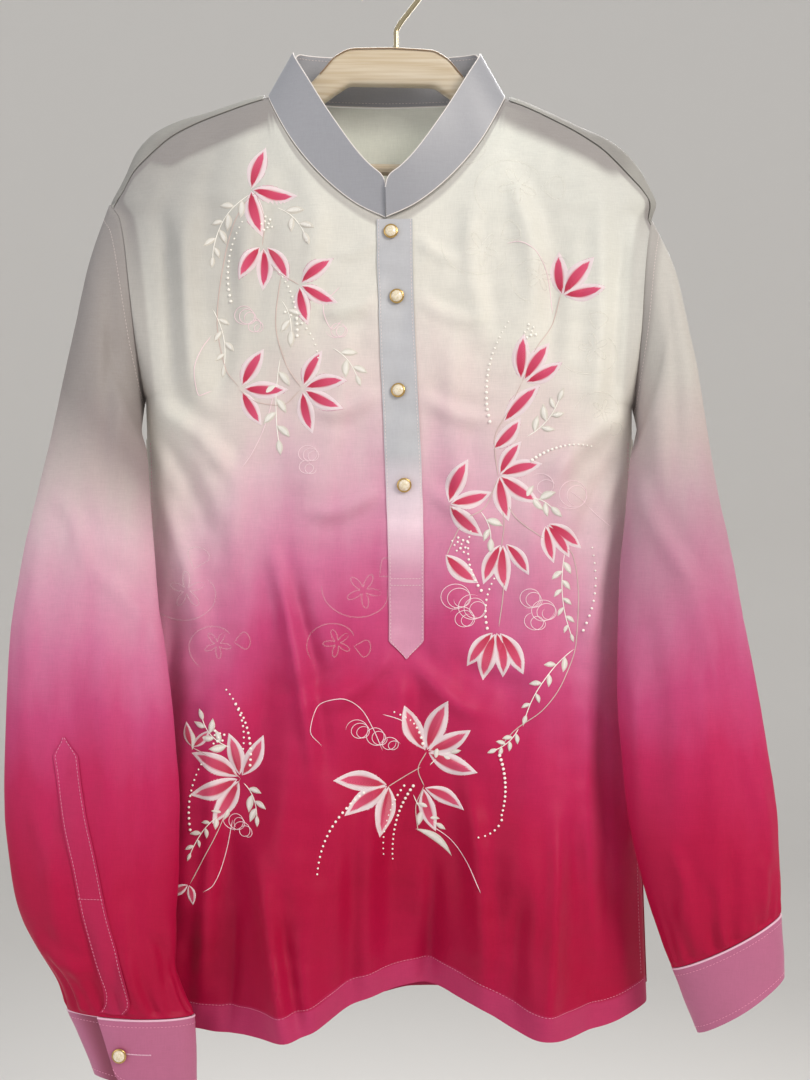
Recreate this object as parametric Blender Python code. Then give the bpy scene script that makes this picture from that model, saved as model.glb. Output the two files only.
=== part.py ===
"""A long-sleeved popover barong shirt, hanging on its hanger.

Metres, +Z up. The shirt's front faces -Y and the wearer's right is at -X. The origin is the inner top of
the hanger's hook, where a rod carries it. Tables are in millimetres, and mm() turns them into metres.
"""

import math

import bpy
import numpy as np

# Driving sizes, in millimetres.
CLOTH = 1.2             # wall of a cloth piece
SEAM_GAP = 0.5          # between two pieces that are sewn edge to edge
LAY_GAP = 0.5           # between a panel and what lies on it
BEND_GAP = 0.9          # more room where the faceted panels bend under or beside a piece
HOOK_RADIUS = 29.0      # of the hook's bow, to the middle of its wire
HOOK_WIRE = 4.5
HOOK_STEM_X = 5.0
HANGER_CREST_Z = -84.6  # top of the hanger's middle block
NECK_SIDE = 0.434       # place across the shirt, from 0 to 1, of the side of the neck
NECK_GAP = 1.6          # more room between the panels and the collar that stands on them
CHEST_DEPTH = 42.0      # from the middle plane to the front at the chest
RIDGE_LENGTH = 68.0     # how soon the front falls away from the shoulder ridge to that depth
RIDGE_BEND = 21.0       # roundness of the cloth over the ridge
ARMHOLE_HALF_DEPTH = 31.0
BACK_SEAM_DROP = 95.0   # along the cloth from the ridge to the yoke's back seam
PLACKET_WIDTH = 30.0
PLACKET_POINT = 15.0    # length of the placket's pointed foot
PLACKET_TOP_Z = -243.0
PLACKET_FOOT_Z = -614.0
PLACKET_TIP = 1.2       # width of the blunt end of the placket's foot
COLLAR_OVERLAP = 2.6    # how far the collar's right end stands in front of its left one
BUTTON_RADIUS = 6.2
BUTTON_HEIGHT = 4.4
BUTTON_GAP = 0.4        # under a front button, over the placket
CUFF_OVERLAP = 30.0     # how far a cuff's upper end lies over its lower one, as degrees of its ring
BAR_RADIUS = 5.0
BAR_Z = -191.0
BAR_BEND = 10.0
BAR_HALF = 158.0
BAR_CLEAR = 2.6         # from the bar's ends to the arms that they enter
HANGER_TILT = 0.02      # the hanger hangs a little lower at +X
HANGER_SQUARE = 0.55    # exponent that squares the hanger's sections: 1 is an ellipse

# The shoulder ridge: a runs across the shirt, from -1 at one armhole to 1 at the other.
RIDGE_COLUMNS = ("a", "z")
RIDGE = [
    (-1.00, -222.0), (-0.95, -199.0), (-0.90, -175.0), (-0.83, -159.0), (-0.74, -149.0),
    (-0.59, -137.0), (-0.43, -126.0), (-0.20, -119.0), (0.00, -118.0), (0.20, -119.0),
    (0.43, -127.5), (0.62, -145.0), (0.72, -156.0), (0.83, -171.0), (0.90, -188.0),
    (0.95, -208.0), (1.00, -236.0),
]

# Half the shirt's width and the place of its middle, by height.
SIDE_COLUMNS = ("z", "half", "middle")
SIDE = [
    (-100.0, 241.0, -3.0), (-218.0, 241.0, -3.0), (-238.0, 229.0, -3.0), (-270.0, 222.0, -3.0),
    (-330.0, 216.0, -2.0), (-400.0, 211.0, -1.0), (-600.0, 213.0, 1.0), (-800.0, 218.0, 2.0),
    (-940.0, 223.0, 2.0),
]
ARMPIT_Z = {-1: -390.0, 1: -398.0}

# Length of cloth from the ridge forward to the front shoulder seam.
SHOULDER_SEAM_COLUMNS = ("across", "length")
SHOULDER_SEAM = [(0.38, 15.0), (0.60, 19.0), (0.75, 25.0), (0.86, 34.0), (0.94, 28.0), (1.00, 14.0)]

# The neck's seam and the collar's free edge, from the front end round to the middle of the back.
NECK_COLUMNS = ("around", "seam_out", "seam_z", "edge_out", "edge_lean", "edge_z")
NECK = [
    (0.00, 1.0, -241.0, 1.0, -3.5, -209.0),
    (0.12, 25.0, -229.0, 20.0, -2.5, -191.0),
    (0.28, 57.0, -202.0, 42.0, -1.0, -161.0),
    (0.46, 84.0, -167.0, 63.0, 1.0, -127.0),
    (0.62, 102.0, -129.0, 81.0, 0.0, -92.0),
    (0.74, 92.0, -124.0, 76.0, -3.0, -84.5),
    (0.88, 52.0, -125.0, 44.0, -4.0, -84.0),
    (1.00, 0.0, -126.0, 0.0, -4.0, -84.0),
]
NECK_BACK_REACH = 100.0  # how much fuller the back stands round the neck, as a length of fall

# Heights of the hem, across the shirt.
HEM_COLUMNS = ("a", "front", "back")
HEM = [
    (-1.00, -930.0, -930.0), (-0.70, -930.0, -926.0), (-0.39, -923.0, -920.0), (-0.10, -903.0, -917.0),
    (0.10, -896.0, -916.0), (0.30, -905.0, -917.0), (0.55, -923.0, -920.0), (0.78, -926.0, -920.0),
    (1.00, -915.0, -915.0),
]

# Long folds: (top z, x there, x at the hem, width, how far it stands out at the hem), of each crest.
FRONT_FOLDS = [
    (-500.0, -52.0, -84.0, 36.0, 43.0),
    (-520.0, 122.0, 124.0, 38.0, 43.0),
    (-640.0, 14.0, 24.0, 40.0, -27.0),
    (-620.0, -128.0, -150.0, 20.0, -9.0),
    (-300.0, -90.0, -120.0, 16.0, -5.0),
    (-560.0, 160.0, 178.0, 18.0, -9.0),
]
BACK_FOLDS = [
    (-430.0, -96.0, -122.0, 34.0, 30.0),
    (-560.0, -30.0, -40.0, 30.0, -14.0),
    (-520.0, 30.0, 34.0, 30.0, 17.0),
    (-480.0, 110.0, 132.0, 34.0, 27.0),
]

# Sleeve rings: the outer and inner ends of each flattened ring, its half depth and its middle's depth.
SLEEVE_COLUMNS = ("outer_x", "outer_z", "inner_x", "inner_z", "half_depth", "middle_y")
SLEEVE_LEFT = [
    (-260.0, -280.0, -214.5, -416.0, 29.0, -16.0),
    (-268.0, -334.0, -207.5, -440.0, 26.0, -27.0),
    (-280.0, -395.0, -203.5, -470.0, 24.0, -34.0),
    (-298.0, -480.0, -199.5, -518.0, 24.0, -39.0),
    (-309.0, -530.0, -196.0, -556.0, 24.0, -42.0),
    (-318.0, -597.0, -189.0, -606.0, 24.0, -46.0),
    (-321.0, -672.0, -179.5, -677.0, 25.0, -49.0),
    (-321.0, -739.0, -176.0, -739.0, 26.0, -51.0),
    (-316.5, -785.0, -176.0, -785.0, 27.0, -52.0),
    (-306.0, -826.0, -179.0, -829.0, 28.0, -53.0),
    (-293.0, -852.0, -179.0, -862.0, 27.0, -54.0),
    (-274.0, -884.0, -171.0, -893.0, 22.0, -54.0),
    (-268.0, -903.0, -163.0, -908.0, 19.0, -54.0),
]
SLEEVE_RIGHT = [
    (246.0, -285.5, 213.5, -424.0, 29.0, -16.0),
    (255.0, -338.5, 205.0, -446.0, 26.0, -27.0),
    (262.0, -383.0, 201.5, -472.0, 24.0, -34.0),
    (271.5, -446.0, 198.0, -505.0, 24.0, -38.0),
    (284.5, -512.5, 193.5, -547.0, 24.0, -42.0),
    (293.5, -564.0, 191.0, -600.0, 24.0, -46.0),
    (307.0, -639.0, 191.0, -648.0, 25.0, -49.0),
    (316.0, -693.0, 194.5, -697.0, 26.0, -50.0),
    (323.0, -743.0, 199.5, -743.0, 27.0, -51.0),
    (325.0, -780.0, 207.0, -782.0, 27.0, -52.0),
    (326.0, -800.0, 219.0, -824.0, 26.0, -53.0),
    (325.5, -815.0, 229.0, -853.0, 22.0, -54.0),
    (325.0, -824.0, 235.0, -869.0, 19.0, -54.0),
]

# Cuffs: the ring below the sleeve, a middle one and the free ring, in the sleeves' columns.
CUFF_LEFT = [
    (-268.4, -904.4, -162.6, -909.4, 19.5, -54.0),
    (-257.0, -931.0, -161.8, -938.0, 19.5, -54.0),
    (-245.5, -957.5, -161.0, -967.0, 19.5, -54.0),
]
CUFF_RIGHT = [
    (325.7, -825.3, 235.7, -870.3, 19.5, -54.0),
    (327.0, -850.5, 246.0, -896.5, 19.5, -54.0),
    (328.5, -876.0, 256.5, -923.0, 19.5, -54.0),
]
# Degrees round a ring, from its outer end towards the front, or towards the back where negative.
CUFF_OPENING_ANGLE = {-1: 63.0, 1: -63.0}
CUFF_BUTTON_TURN = 14.0
CUFF_SUNK = 3.2         # how far the lower end lies under the upper one

# The sleeve placket's middle: a share of the sleeve's length, and degrees round its ring.
SLEEVE_PLACKET_COLUMNS = ("share", "angle")
SLEEVE_PLACKET = [(0.54, 76.0), (0.70, 90.0), (0.85, 97.0), (0.94, 88.0), (0.985, 78.0)]
SLEEVE_PLACKET_WIDTH = 21.0

# The front buttons, as (x, z).
BUTTONS = [(0.9, -254.0), (6.0, -308.0), (7.7, -388.0), (12.0, -467.0)]

# The hanger's block and arms: the middle of each section, its height and its thickness.
HANGER_COLUMNS = ("x", "top", "bottom", "thick")
HANGER = [
    (0.0, -84.6, -118.5, 14.0), (34.0, -86.0, -118.5, 14.0), (48.0, -92.5, -126.0, 14.5),
    (60.0, -106.0, -134.5, 15.0), (72.0, -119.0, -139.0, 16.0), (105.0, -136.0, -156.0, 16.0),
    (140.0, -149.0, -170.0, 17.0), (170.0, -161.5, -182.0, 17.0), (190.0, -174.0, -191.0, 16.0),
    (197.0, -180.0, -189.0, 11.0),
]
HANGER_MIDDLE_X = 1.0

MATERIALS = {
    "ivory_organza": ("E6DFD6", 0.55, 0.0),
    "rose_organza": ("C4366C", 0.55, 0.0),
    "grey_satin": ("A6A7AD", 0.40, 0.0),
    "mauve_satin": ("BC6A92", 0.42, 0.0),
    "hanger_wood": ("CDBEA2", 0.45, 0.0),
    "gilt_wire": ("B6AA8C", 0.25, 1.0),
    "pearl_button": ("E4D3A6", 0.25, 0.0),
}


def mm(points):
    return np.asarray(points, float) / 1000.0


def linear(hex_colour):
    """An sRGB hex colour as linear RGBA."""
    srgb = np.array([int(hex_colour[i:i + 2], 16) for i in (0, 2, 4)]) / 255.0
    low = srgb / 12.92
    high = ((srgb + 0.055) / 1.055) ** 2.4
    return (*np.where(srgb <= 0.04045, low, high), 1.0)


def column(table, names, name):
    return np.array([row[names.index(name)] for row in table], float)


def curve(at, keys, values):
    """A smooth curve through the values at ascending keys, with the slopes limited so it never overshoots."""
    keys = np.asarray(keys, float)
    values = np.asarray(values, float)
    steps = np.diff(keys)
    rises = np.diff(values) / steps
    before = np.concatenate([rises[:1], rises])
    after = np.concatenate([rises, rises[-1:]])
    same_way = before * after > 0
    total = np.where(same_way, before + after, 1.0)
    slopes = np.where(same_way, 2.0 * before * after / total, 0.0)
    at = np.clip(at, keys[0], keys[-1])
    i = np.clip(np.searchsorted(keys, at) - 1, 0, len(steps) - 1)
    t = (at - keys[i]) / steps[i]
    h = steps[i]
    return ((2 * t**3 - 3 * t**2 + 1) * values[i] + (t**3 - 2 * t**2 + t) * h * slopes[i]
            + (3 * t**2 - 2 * t**3) * values[i + 1] + (t**3 - t**2) * h * slopes[i + 1])


def look_up(table, names, key, name, at):
    keys = column(table, names, key)
    values = column(table, names, name)
    order = np.argsort(keys)
    return curve(at, keys[order], values[order])


def smooth_step(value, start, end):
    t = np.clip((value - start) / (end - start), 0.0, 1.0)
    return t * t * (3.0 - 2.0 * t)


# The torso's surface ---------------------------------------------------------------------------------

def ridge_z(a):
    return look_up(RIDGE, RIDGE_COLUMNS, "a", "z", a)


def half_width(z):
    return look_up(SIDE, SIDE_COLUMNS, "z", "half", z)


def middle_x(z):
    return look_up(SIDE, SIDE_COLUMNS, "z", "middle", z)


def fall_of(length):
    """How far the cloth has fallen below the ridge after a length of it: round at first, then straight."""
    return length**2 / (length + RIDGE_BEND)


def length_of(fall):
    return (fall + np.sqrt(fall**2 + 4.0 * RIDGE_BEND * fall)) / 2.0


def armhole_depth(a, z):
    """Half the armhole's depth at a height: an ellipse from the shoulder's tip to the armpit, then nothing."""
    side = np.where(a < 0, -1, 1)
    tip = np.where(side < 0, RIDGE[0][1], RIDGE[-1][1])
    pit = np.where(side < 0, ARMPIT_Z[-1], ARMPIT_Z[1])
    share = np.clip((z - tip) / (pit - tip), 0.0, 1.0)
    return ARMHOLE_HALF_DEPTH * 2.0 * np.sqrt(share * (1.0 - share))


def fold_height(x, z, folds):
    """The sum of the long folds, each a soft ridge that grows from its top to the hem."""
    total = np.zeros_like(x)
    for top_z, top_x, hem_x, width, out in folds:
        run = np.clip((top_z - z) / (top_z + 925.0), 0.0, 1.1)
        crest_x = top_x + (hem_x - top_x) * run
        wide = width * (0.75 + 0.25 * run)
        total += out * smooth_step(run, 0.0, 1.05) * np.exp(-0.5 * ((x - crest_x) / wide) ** 2)
    return total


def torso(a, length, side):
    """A point of the torso: a across it, and a length of cloth down from the ridge, on the front (side -1)
    or the back (side 1)."""
    a, length = np.broadcast_arrays(np.asarray(a, float), np.asarray(length, float))
    fall = fall_of(length)
    z = ridge_z(a) - fall
    x = middle_x(z) + a * half_width(z)
    deep = CHEST_DEPTH if side < 0 else CHEST_DEPTH - 4.0
    deep = deep - 8.0 * smooth_step(-z, 450.0, 900.0)
    round_neck = NECK_BACK_REACH * np.clip(1.0 - (a / 0.44) ** 2, 0.0, 1.0) if side > 0 else 0.0
    inner = deep * np.sqrt(1.0 - np.exp(-(fall + round_neck) / RIDGE_LENGTH))
    spread = np.sqrt(1.0 - np.abs(a) ** 5)
    edge = armhole_depth(a, z) + SEAM_GAP
    folds = fold_height(x, z, FRONT_FOLDS if side < 0 else BACK_FOLDS)
    depth = edge + (inner - np.minimum(edge, inner)) * spread + folds * spread
    middle = 7.0 * np.abs(a) ** 3 * smooth_step(-z, 380.0, 520.0)
    return np.stack([x, middle + side * depth, z], axis=-1)


def panel(across, start, end, rows, side, bunch=1.0):
    """A grid of torso points: one column for each place across, from a start to an end length of cloth."""
    share = np.linspace(0.0, 1.0, rows)[:, None] ** bunch
    lengths = start[None, :] + (end - start)[None, :] * share
    return torso(np.broadcast_to(across, lengths.shape), lengths, side)


def neck_half(name, at):
    return curve(at, column(NECK, NECK_COLUMNS, "around"), column(NECK, NECK_COLUMNS, name))


def neck_length(a, on_front):
    """Length of cloth from the ridge to the neck's seam, for a place across the shirt inside the neck."""
    around = np.linspace(0.0, 0.62, 200) if on_front else np.linspace(0.62, 1.0, 200)
    out = neck_half("seam_out", around)
    z = neck_half("seam_z", around)
    x = np.abs(a) * half_width(-130.0)
    order = np.argsort(out)
    fall = np.maximum(ridge_z(a) - np.interp(x, out[order], z[order]), 0.0)
    return length_of(fall)


def seam_length(a):
    return look_up(SHOULDER_SEAM, SHOULDER_SEAM_COLUMNS, "across", "length", np.abs(a))


def hem_length(a, name):
    return length_of(ridge_z(a) - look_up(HEM, HEM_COLUMNS, "a", name, a))


# Meshes ----------------------------------------------------------------------------------------------

def normals_of(grid, wraps):
    """The unit normals of a grid of points, from the steps along its rows and its columns."""
    if wraps:
        along = np.roll(grid, -1, axis=1) - np.roll(grid, 1, axis=1)
    else:
        along = np.gradient(grid, axis=1)
    down = np.gradient(grid, axis=0)
    normal = np.cross(down, along)
    return normal / np.linalg.norm(normal, axis=-1, keepdims=True)


def shell(grid, thick=CLOTH, wraps=False, lift=0.0):
    """A closed wall of a grid's points: (points, faces). Its grid is moved out by lift, then given its
    thickness to either side. Rows run down and columns run to +X on the front, so normals point out."""
    normal = normals_of(grid, wraps)
    outer = grid + normal * (lift + thick / 2.0)
    inner = grid + normal * (lift - thick / 2.0)
    rows, columns = grid.shape[:2]
    points = np.concatenate([outer.reshape(-1, 3), inner.reshape(-1, 3)])
    index = np.arange(rows * columns).reshape(rows, columns)
    if wraps:
        index = np.concatenate([index, index[:, :1]], axis=1)
    a, b, c, d = index[:-1, :-1], index[1:, :-1], index[1:, 1:], index[:-1, 1:]
    under = rows * columns
    faces = [np.stack([a, b, c, d], -1).reshape(-1, 4), np.stack([d, c, b, a], -1).reshape(-1, 4) + under]
    edges = [index[0, ::-1], index[-1, :]]
    if not wraps:
        edges += [index[:, 0], index[::-1, -1]]
    for edge in edges:
        first, second = edge[:-1], edge[1:]
        faces.append(np.stack([first, first + under, second + under, second], -1))
    return points, np.concatenate(faces)


def add_mesh(name, points, faces, material, smooth=True):
    mesh = bpy.data.meshes.new(name)
    mesh.from_pydata(mm(points).tolist(), [], [list(map(int, face)) for face in faces])
    mesh.validate()
    if smooth:
        mesh.shade_smooth()
        mesh.set_sharp_from_angle(angle=math.radians(50.0))
    obj = bpy.data.objects.new(name, mesh)
    obj.data.materials.append(material)
    bpy.context.scene.collection.objects.link(obj)
    return obj


def make_material(name):
    colour, roughness, metallic = MATERIALS[name]
    material = bpy.data.materials.new(name)
    material.use_nodes = True
    shader = material.node_tree.nodes["Principled BSDF"]
    shader.inputs["Base Color"].default_value = linear(colour)
    shader.inputs["Roughness"].default_value = roughness
    shader.inputs["Metallic"].default_value = metallic
    material.diffuse_color = linear(colour)
    return material


def lathe(profile, sides):
    """A closed body turned about Z from (radius, height) rows, the first and last of which are on its axis."""
    turns = np.arange(sides) * 2.0 * math.pi / sides
    rings = [np.stack([r * np.cos(turns), r * np.sin(turns), np.full(sides, h)], -1) for r, h in profile[1:-1]]
    points = np.concatenate([[(0.0, 0.0, profile[0][1])], *rings, [(0.0, 0.0, profile[-1][1])]])
    last = len(points) - 1
    faces = []
    for k in range(sides):
        n = (k + 1) % sides
        faces.append((0, 1 + n, 1 + k))
        for ring in range(len(rings) - 1):
            low, high = 1 + ring * sides, 1 + (ring + 1) * sides
            faces.append((low + k, low + n, high + n, high + k))
        top = 1 + (len(rings) - 1) * sides
        faces.append((top + k, top + n, last))
    return points, faces


def placed(points, centre, outward):
    """Turned points moved so that their Z axis points outward from a centre."""
    outward = np.asarray(outward) / np.linalg.norm(outward)
    side = np.cross([0.0, 0.0, 1.0], outward)
    side /= np.linalg.norm(side)
    up = np.cross(outward, side)
    return np.asarray(centre) + points @ np.stack([side, up, outward])


def tube(path, radius, sides, turn):
    """A round rod along a path in the XZ plane, with flat ends."""
    path = np.asarray(path, float)
    heading = np.gradient(path, axis=0)
    heading /= np.linalg.norm(heading, axis=1, keepdims=True)
    across = np.array([0.0, 1.0, 0.0])
    up = np.cross(heading, across)
    turns = (np.arange(sides) + turn) * 2.0 * math.pi / sides
    rings = (path[:, None, :] + radius * np.cos(turns)[None, :, None] * across
             + radius * np.sin(turns)[None, :, None] * up[:, None, :])
    points = rings.reshape(-1, 3)
    faces = []
    for i in range(len(path) - 1):
        for k in range(sides):
            n = (k + 1) % sides
            faces.append((i * sides + k, i * sides + n, (i + 1) * sides + n, (i + 1) * sides + k))
    faces.append(tuple(range(sides))[::-1])
    faces.append(tuple(range((len(path) - 1) * sides, len(path) * sides)))
    return points, faces


# Pieces ----------------------------------------------------------------------------------------------

def neck_corner():
    """The place across the shirt where the front shoulder seam meets the neck's seam."""
    a = np.linspace(0.3, 0.43, 400)
    return a[np.argmin(np.abs(neck_length(a, True) - seam_length(a)))]


def across_columns(inside):
    """Places across the shirt: evenly spaced inside the neck, then the shared ones of the shoulders."""
    outside = np.array([NECK_SIDE, 0.5, 0.58, 0.66, 0.74, 0.82, 0.89, 0.95, 1.0])
    return np.concatenate([-outside[::-1], inside, outside])


def front_grid():
    corner = neck_corner()
    across = across_columns(np.linspace(-corner, corner, 15))
    inside = np.abs(across) < NECK_SIDE
    top = np.maximum(neck_length(across, True) + NECK_GAP * inside, seam_length(across)) + SEAM_GAP
    return panel(across, top, hem_length(across, "front"), 24, -1, bunch=1.25)


def yoke_inside():
    return np.linspace(-NECK_SIDE + 0.03, NECK_SIDE - 0.03, 9)


def back_grid():
    across = across_columns(yoke_inside())
    top = np.full(len(across), BACK_SEAM_DROP + SEAM_GAP)
    grid = panel(across, top, hem_length(across, "back"), 16, 1, bunch=1.1)
    return grid[:, ::-1]


def yoke_grid():
    """The yoke runs from its back seam, up over the ridge, to the front seam or to the neck."""
    across = across_columns(yoke_inside())
    over = np.abs(across) >= NECK_SIDE
    reach = np.where(over, seam_length(across) - SEAM_GAP, -neck_length(across, False) - NECK_GAP)
    share = np.linspace(0.0, 1.0, 12)[:, None]
    signed = -BACK_SEAM_DROP + (reach + BACK_SEAM_DROP)[None, :] * share
    wide = np.broadcast_to(across, signed.shape)
    front = torso(wide, np.abs(signed), -1)
    back = torso(wide, np.abs(signed), 1)
    return np.where((signed > 0)[..., None], front, back)[::-1]


def flat_ring(outer, inner, half_depth, middle_y, angles):
    """A flattened ring: an ellipse from its outer to its inner end, drawn out a little at both."""
    centre = (outer + inner) / 2.0
    reach = (outer - inner) / 2.0
    cosine, sine = np.cos(angles), np.sin(angles)
    x = centre[0] + reach[0] * cosine
    z = centre[1] + reach[1] * cosine
    thin = np.sign(sine) * np.abs(sine) ** 1.25
    return np.stack([x, middle_y - half_depth * thin, z], -1)


def armhole_ring(side, angles):
    """The torso's armhole, as the sleeve's first ring: angle 0 is the shoulder's tip and pi the armpit."""
    tip = RIDGE[0][1] if side < 0 else RIDGE[-1][1]
    z = tip + (ARMPIT_Z[side] - tip) * (1.0 - np.cos(angles)) / 2.0
    x = middle_x(z) + side * (half_width(z) + SEAM_GAP + BEND_GAP)
    return np.stack([x, -ARMHOLE_HALF_DEPTH * np.sin(angles), z], -1)


def sleeve_table(side):
    return SLEEVE_LEFT if side < 0 else SLEEVE_RIGHT


def rings_of(table, angles):
    return [flat_ring(np.array(row[:2]), np.array(row[2:4]), row[4], row[5], angles) for row in table]


def sleeve_grid(side, around=22):
    angles = np.arange(around) * 2.0 * math.pi / around
    angles = angles if side < 0 else -angles
    rings = [armhole_ring(side, angles)] + rings_of(sleeve_table(side), angles)
    return np.stack(rings)


def cuff_grid(side):
    """A cuff wraps once round the wrist and its upper end lies over its lower one."""
    table = CUFF_LEFT if side < 0 else CUFF_RIGHT
    turns = np.linspace(0.0, 2.0 * math.pi + math.radians(CUFF_OVERLAP), 31)
    grid = np.stack(rings_of(table, math.radians(CUFF_OPENING_ANGLE[side]) - side * turns))
    sunk = CUFF_SUNK * smooth_step(turns, 2.0 * math.pi * 0.8, 2.0 * math.pi * 0.98)
    return grid - normals_of(grid, False) * sunk[None, :, None]


def build_sleeve_placket(side, material):
    """A pointed strip that lies on the sleeve above the cuff's opening."""
    rows = np.linspace(0.0, 1.0, 12)
    table = sleeve_table(side)
    keys = np.linspace(0.0, 1.0, len(table))
    share = SLEEVE_PLACKET[0][0] + (SLEEVE_PLACKET[-1][0] - SLEEVE_PLACKET[0][0]) * rows
    angle = -side * np.radians(look_up(SLEEVE_PLACKET, SLEEVE_PLACKET_COLUMNS, "share", "angle", share))
    columns = [np.interp(share, keys, column(table, SLEEVE_COLUMNS, name)) for name in SLEEVE_COLUMNS]
    half = SLEEVE_PLACKET_WIDTH / 2.0 * np.clip(rows * 11.0, 0.06, 1.0)
    lines = []
    for outer_x, outer_z, inner_x, inner_z, half_depth, middle_y, wide, turned in zip(*columns, half, angle):
        reach = math.hypot(outer_x - inner_x, outer_z - inner_z) / 2.0
        turn = wide / (reach * abs(math.sin(turned)))
        places = turned - side * np.array([-1.0, 0.0, 1.0]) * turn
        lines.append(flat_ring(np.array([outer_x, outer_z]), np.array([inner_x, inner_z]),
                               half_depth, middle_y, places))
    grid = np.stack(lines)
    name = "sleeve_placket_left" if side < 0 else "sleeve_placket_right"
    add_mesh(name, *shell(grid, lift=CLOTH + LAY_GAP + BEND_GAP), material)


def collar_grid():
    """The collar's band, from its left front end round the back of the neck to its right one."""
    half = np.array([0.0, 0.05, 0.12, 0.2, 0.28, 0.37, 0.46, 0.54, 0.6, 0.65, 0.7, 0.76, 0.84, 0.92])
    around = np.concatenate([half, [1.0], half[::-1]])
    sign = np.concatenate([-np.ones(len(half)), [0.0], np.ones(len(half))])
    z = neck_half("seam_z", around)
    a = sign * neck_half("seam_out", around) / half_width(z)
    length = length_of(np.maximum(ridge_z(a) - z, 0.0))
    seam = np.where((around < 0.62)[:, None], torso(a, length, -1), torso(a, length, 1))
    edge = np.stack([middle_x(z) + sign * neck_half("edge_out", around),
                     seam[:, 1] + neck_half("edge_lean", around), neck_half("edge_z", around)], -1)
    over = COLLAR_OVERLAP * smooth_step(np.linspace(0.0, 1.0, len(around)), 0.8, 0.97)
    seam[:, 1] -= over
    edge[:, 1] -= over
    share = np.linspace(1.0, 0.0, 4)[:, None, None]
    return seam + (edge - seam) * share


def placket_grid():
    """The front placket's strip, from the neck's seam to its pointed foot, on the front panel's surface."""
    z = np.linspace(PLACKET_TOP_Z, PLACKET_FOOT_Z + PLACKET_POINT, 20)
    z = np.append(z, PLACKET_FOOT_Z)
    half = np.full(len(z), PLACKET_WIDTH / 2.0)
    half[-1] = PLACKET_TIP / 2.0
    centre = 4.0 + 10.0 * smooth_step(-z, 240.0, 560.0)
    x = centre[:, None] + half[:, None] * np.linspace(-1.0, 1.0, 5)[None, :]
    return on_front(x, np.broadcast_to(z[:, None], x.shape))


def on_front(x, z):
    """The front panel's surface at a place seen from the front."""
    a = (x - middle_x(z)) / half_width(z)
    return torso(a, length_of(ridge_z(a) - z), -1)


def build_button(name, centre, outward, material):
    r, h = BUTTON_RADIUS, BUTTON_HEIGHT
    profile = [(0.0, 0.0), (r * 0.72, 0.0), (r * 0.97, h * 0.2), (r, h * 0.42), (r * 0.93, h * 0.62),
               (r * 0.62, h * 0.9), (0.0, h)]
    points, faces = lathe(profile, 14)
    add_mesh(name, placed(points, centre, outward), faces, material)


def build_front_buttons(material):
    for number, (x, z) in enumerate(BUTTONS, start=1):
        point = on_front(np.array([x]), np.array([z]))[0]
        lift = CLOTH * 1.5 + LAY_GAP * 2.0 + BUTTON_GAP
        build_button(f"button_{number}", point + np.array([0.0, -lift, 0.0]), (0.0, -1.0, 0.0), material)


def build_cuff_button(side, material):
    """The cuff's button sits on its upper end, near the opening."""
    table = CUFF_LEFT if side < 0 else CUFF_RIGHT
    angle = math.radians(CUFF_OPENING_ANGLE[side] - side * CUFF_BUTTON_TURN)
    ring = flat_ring(np.array(table[1][:2]), np.array(table[1][2:4]), table[1][4], table[1][5],
                     angle + np.array([-0.1, 0.0, 0.1]))
    along = ring[2] - ring[0]
    down = np.array([0.0, 0.0, -1.0])
    outward = np.cross(down, along)
    outward /= np.linalg.norm(outward)
    if outward[1] * side < 0:
        outward = -outward
    name = "cuff_button_left" if side < 0 else "cuff_button_right"
    build_button(name, ring[1] + outward * (CLOTH / 2.0 + LAY_GAP), outward, material)


def hanger_tilt(x):
    return -HANGER_TILT * x


def build_hanger(material):
    """The hanger's block and its two arms, lofted through rounded sections from end to end."""
    left = [(-x, top, bottom, thick) for x, top, bottom, thick in HANGER[:0:-1]]
    sides = 12
    turns = (np.arange(sides) + 0.5) * 2.0 * math.pi / sides
    across = np.sign(np.cos(turns)) * np.abs(np.cos(turns)) ** HANGER_SQUARE
    upward = np.sign(np.sin(turns)) * np.abs(np.sin(turns)) ** HANGER_SQUARE
    rings = []
    for x, top, bottom, thick in left + HANGER:
        rings.append(np.stack([np.full(sides, x + HANGER_MIDDLE_X), across * thick / 2.0,
                               (top + bottom) / 2.0 + hanger_tilt(x) + upward * (top - bottom) / 2.0], -1))
    points = np.concatenate(rings)
    faces = []
    for i in range(len(rings) - 1):
        for k in range(sides):
            n = (k + 1) % sides
            faces.append((i * sides + k, i * sides + n, (i + 1) * sides + n, (i + 1) * sides + k))
    faces.append(tuple(range(sides))[::-1])
    faces.append(tuple(range((len(rings) - 1) * sides, len(rings) * sides)))
    add_mesh("hanger_body", points, faces, material)


def arc(centre, radius, start, end, count):
    angles = np.radians(np.linspace(start, end, count))
    return [(centre[0] + radius * math.cos(a), 0.0, centre[1] + radius * math.sin(a)) for a in angles]


def build_hook(material):
    """A straight stem, a slanting neck and a bow of a little over two thirds of a turn."""
    bow_centre = (0.0, -(HOOK_RADIUS - HOOK_WIRE / 2.0))
    stem = [(HOOK_STEM_X, 0.0, z) for z in (HANGER_CREST_Z + 0.3, -77.0, -71.0)]
    neck = [(HOOK_STEM_X + 2.2, 0.0, -65.5), (HOOK_STEM_X + 10.0, 0.0, -54.8), (HOOK_STEM_X + 15.0, 0.0, -48.3)]
    bow = arc(bow_centre, HOOK_RADIUS, -36.0, 214.0, 22)
    add_mesh("hook", *tube(stem + neck + bow, HOOK_WIRE / 2.0, 10, 0.0), material)


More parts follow.
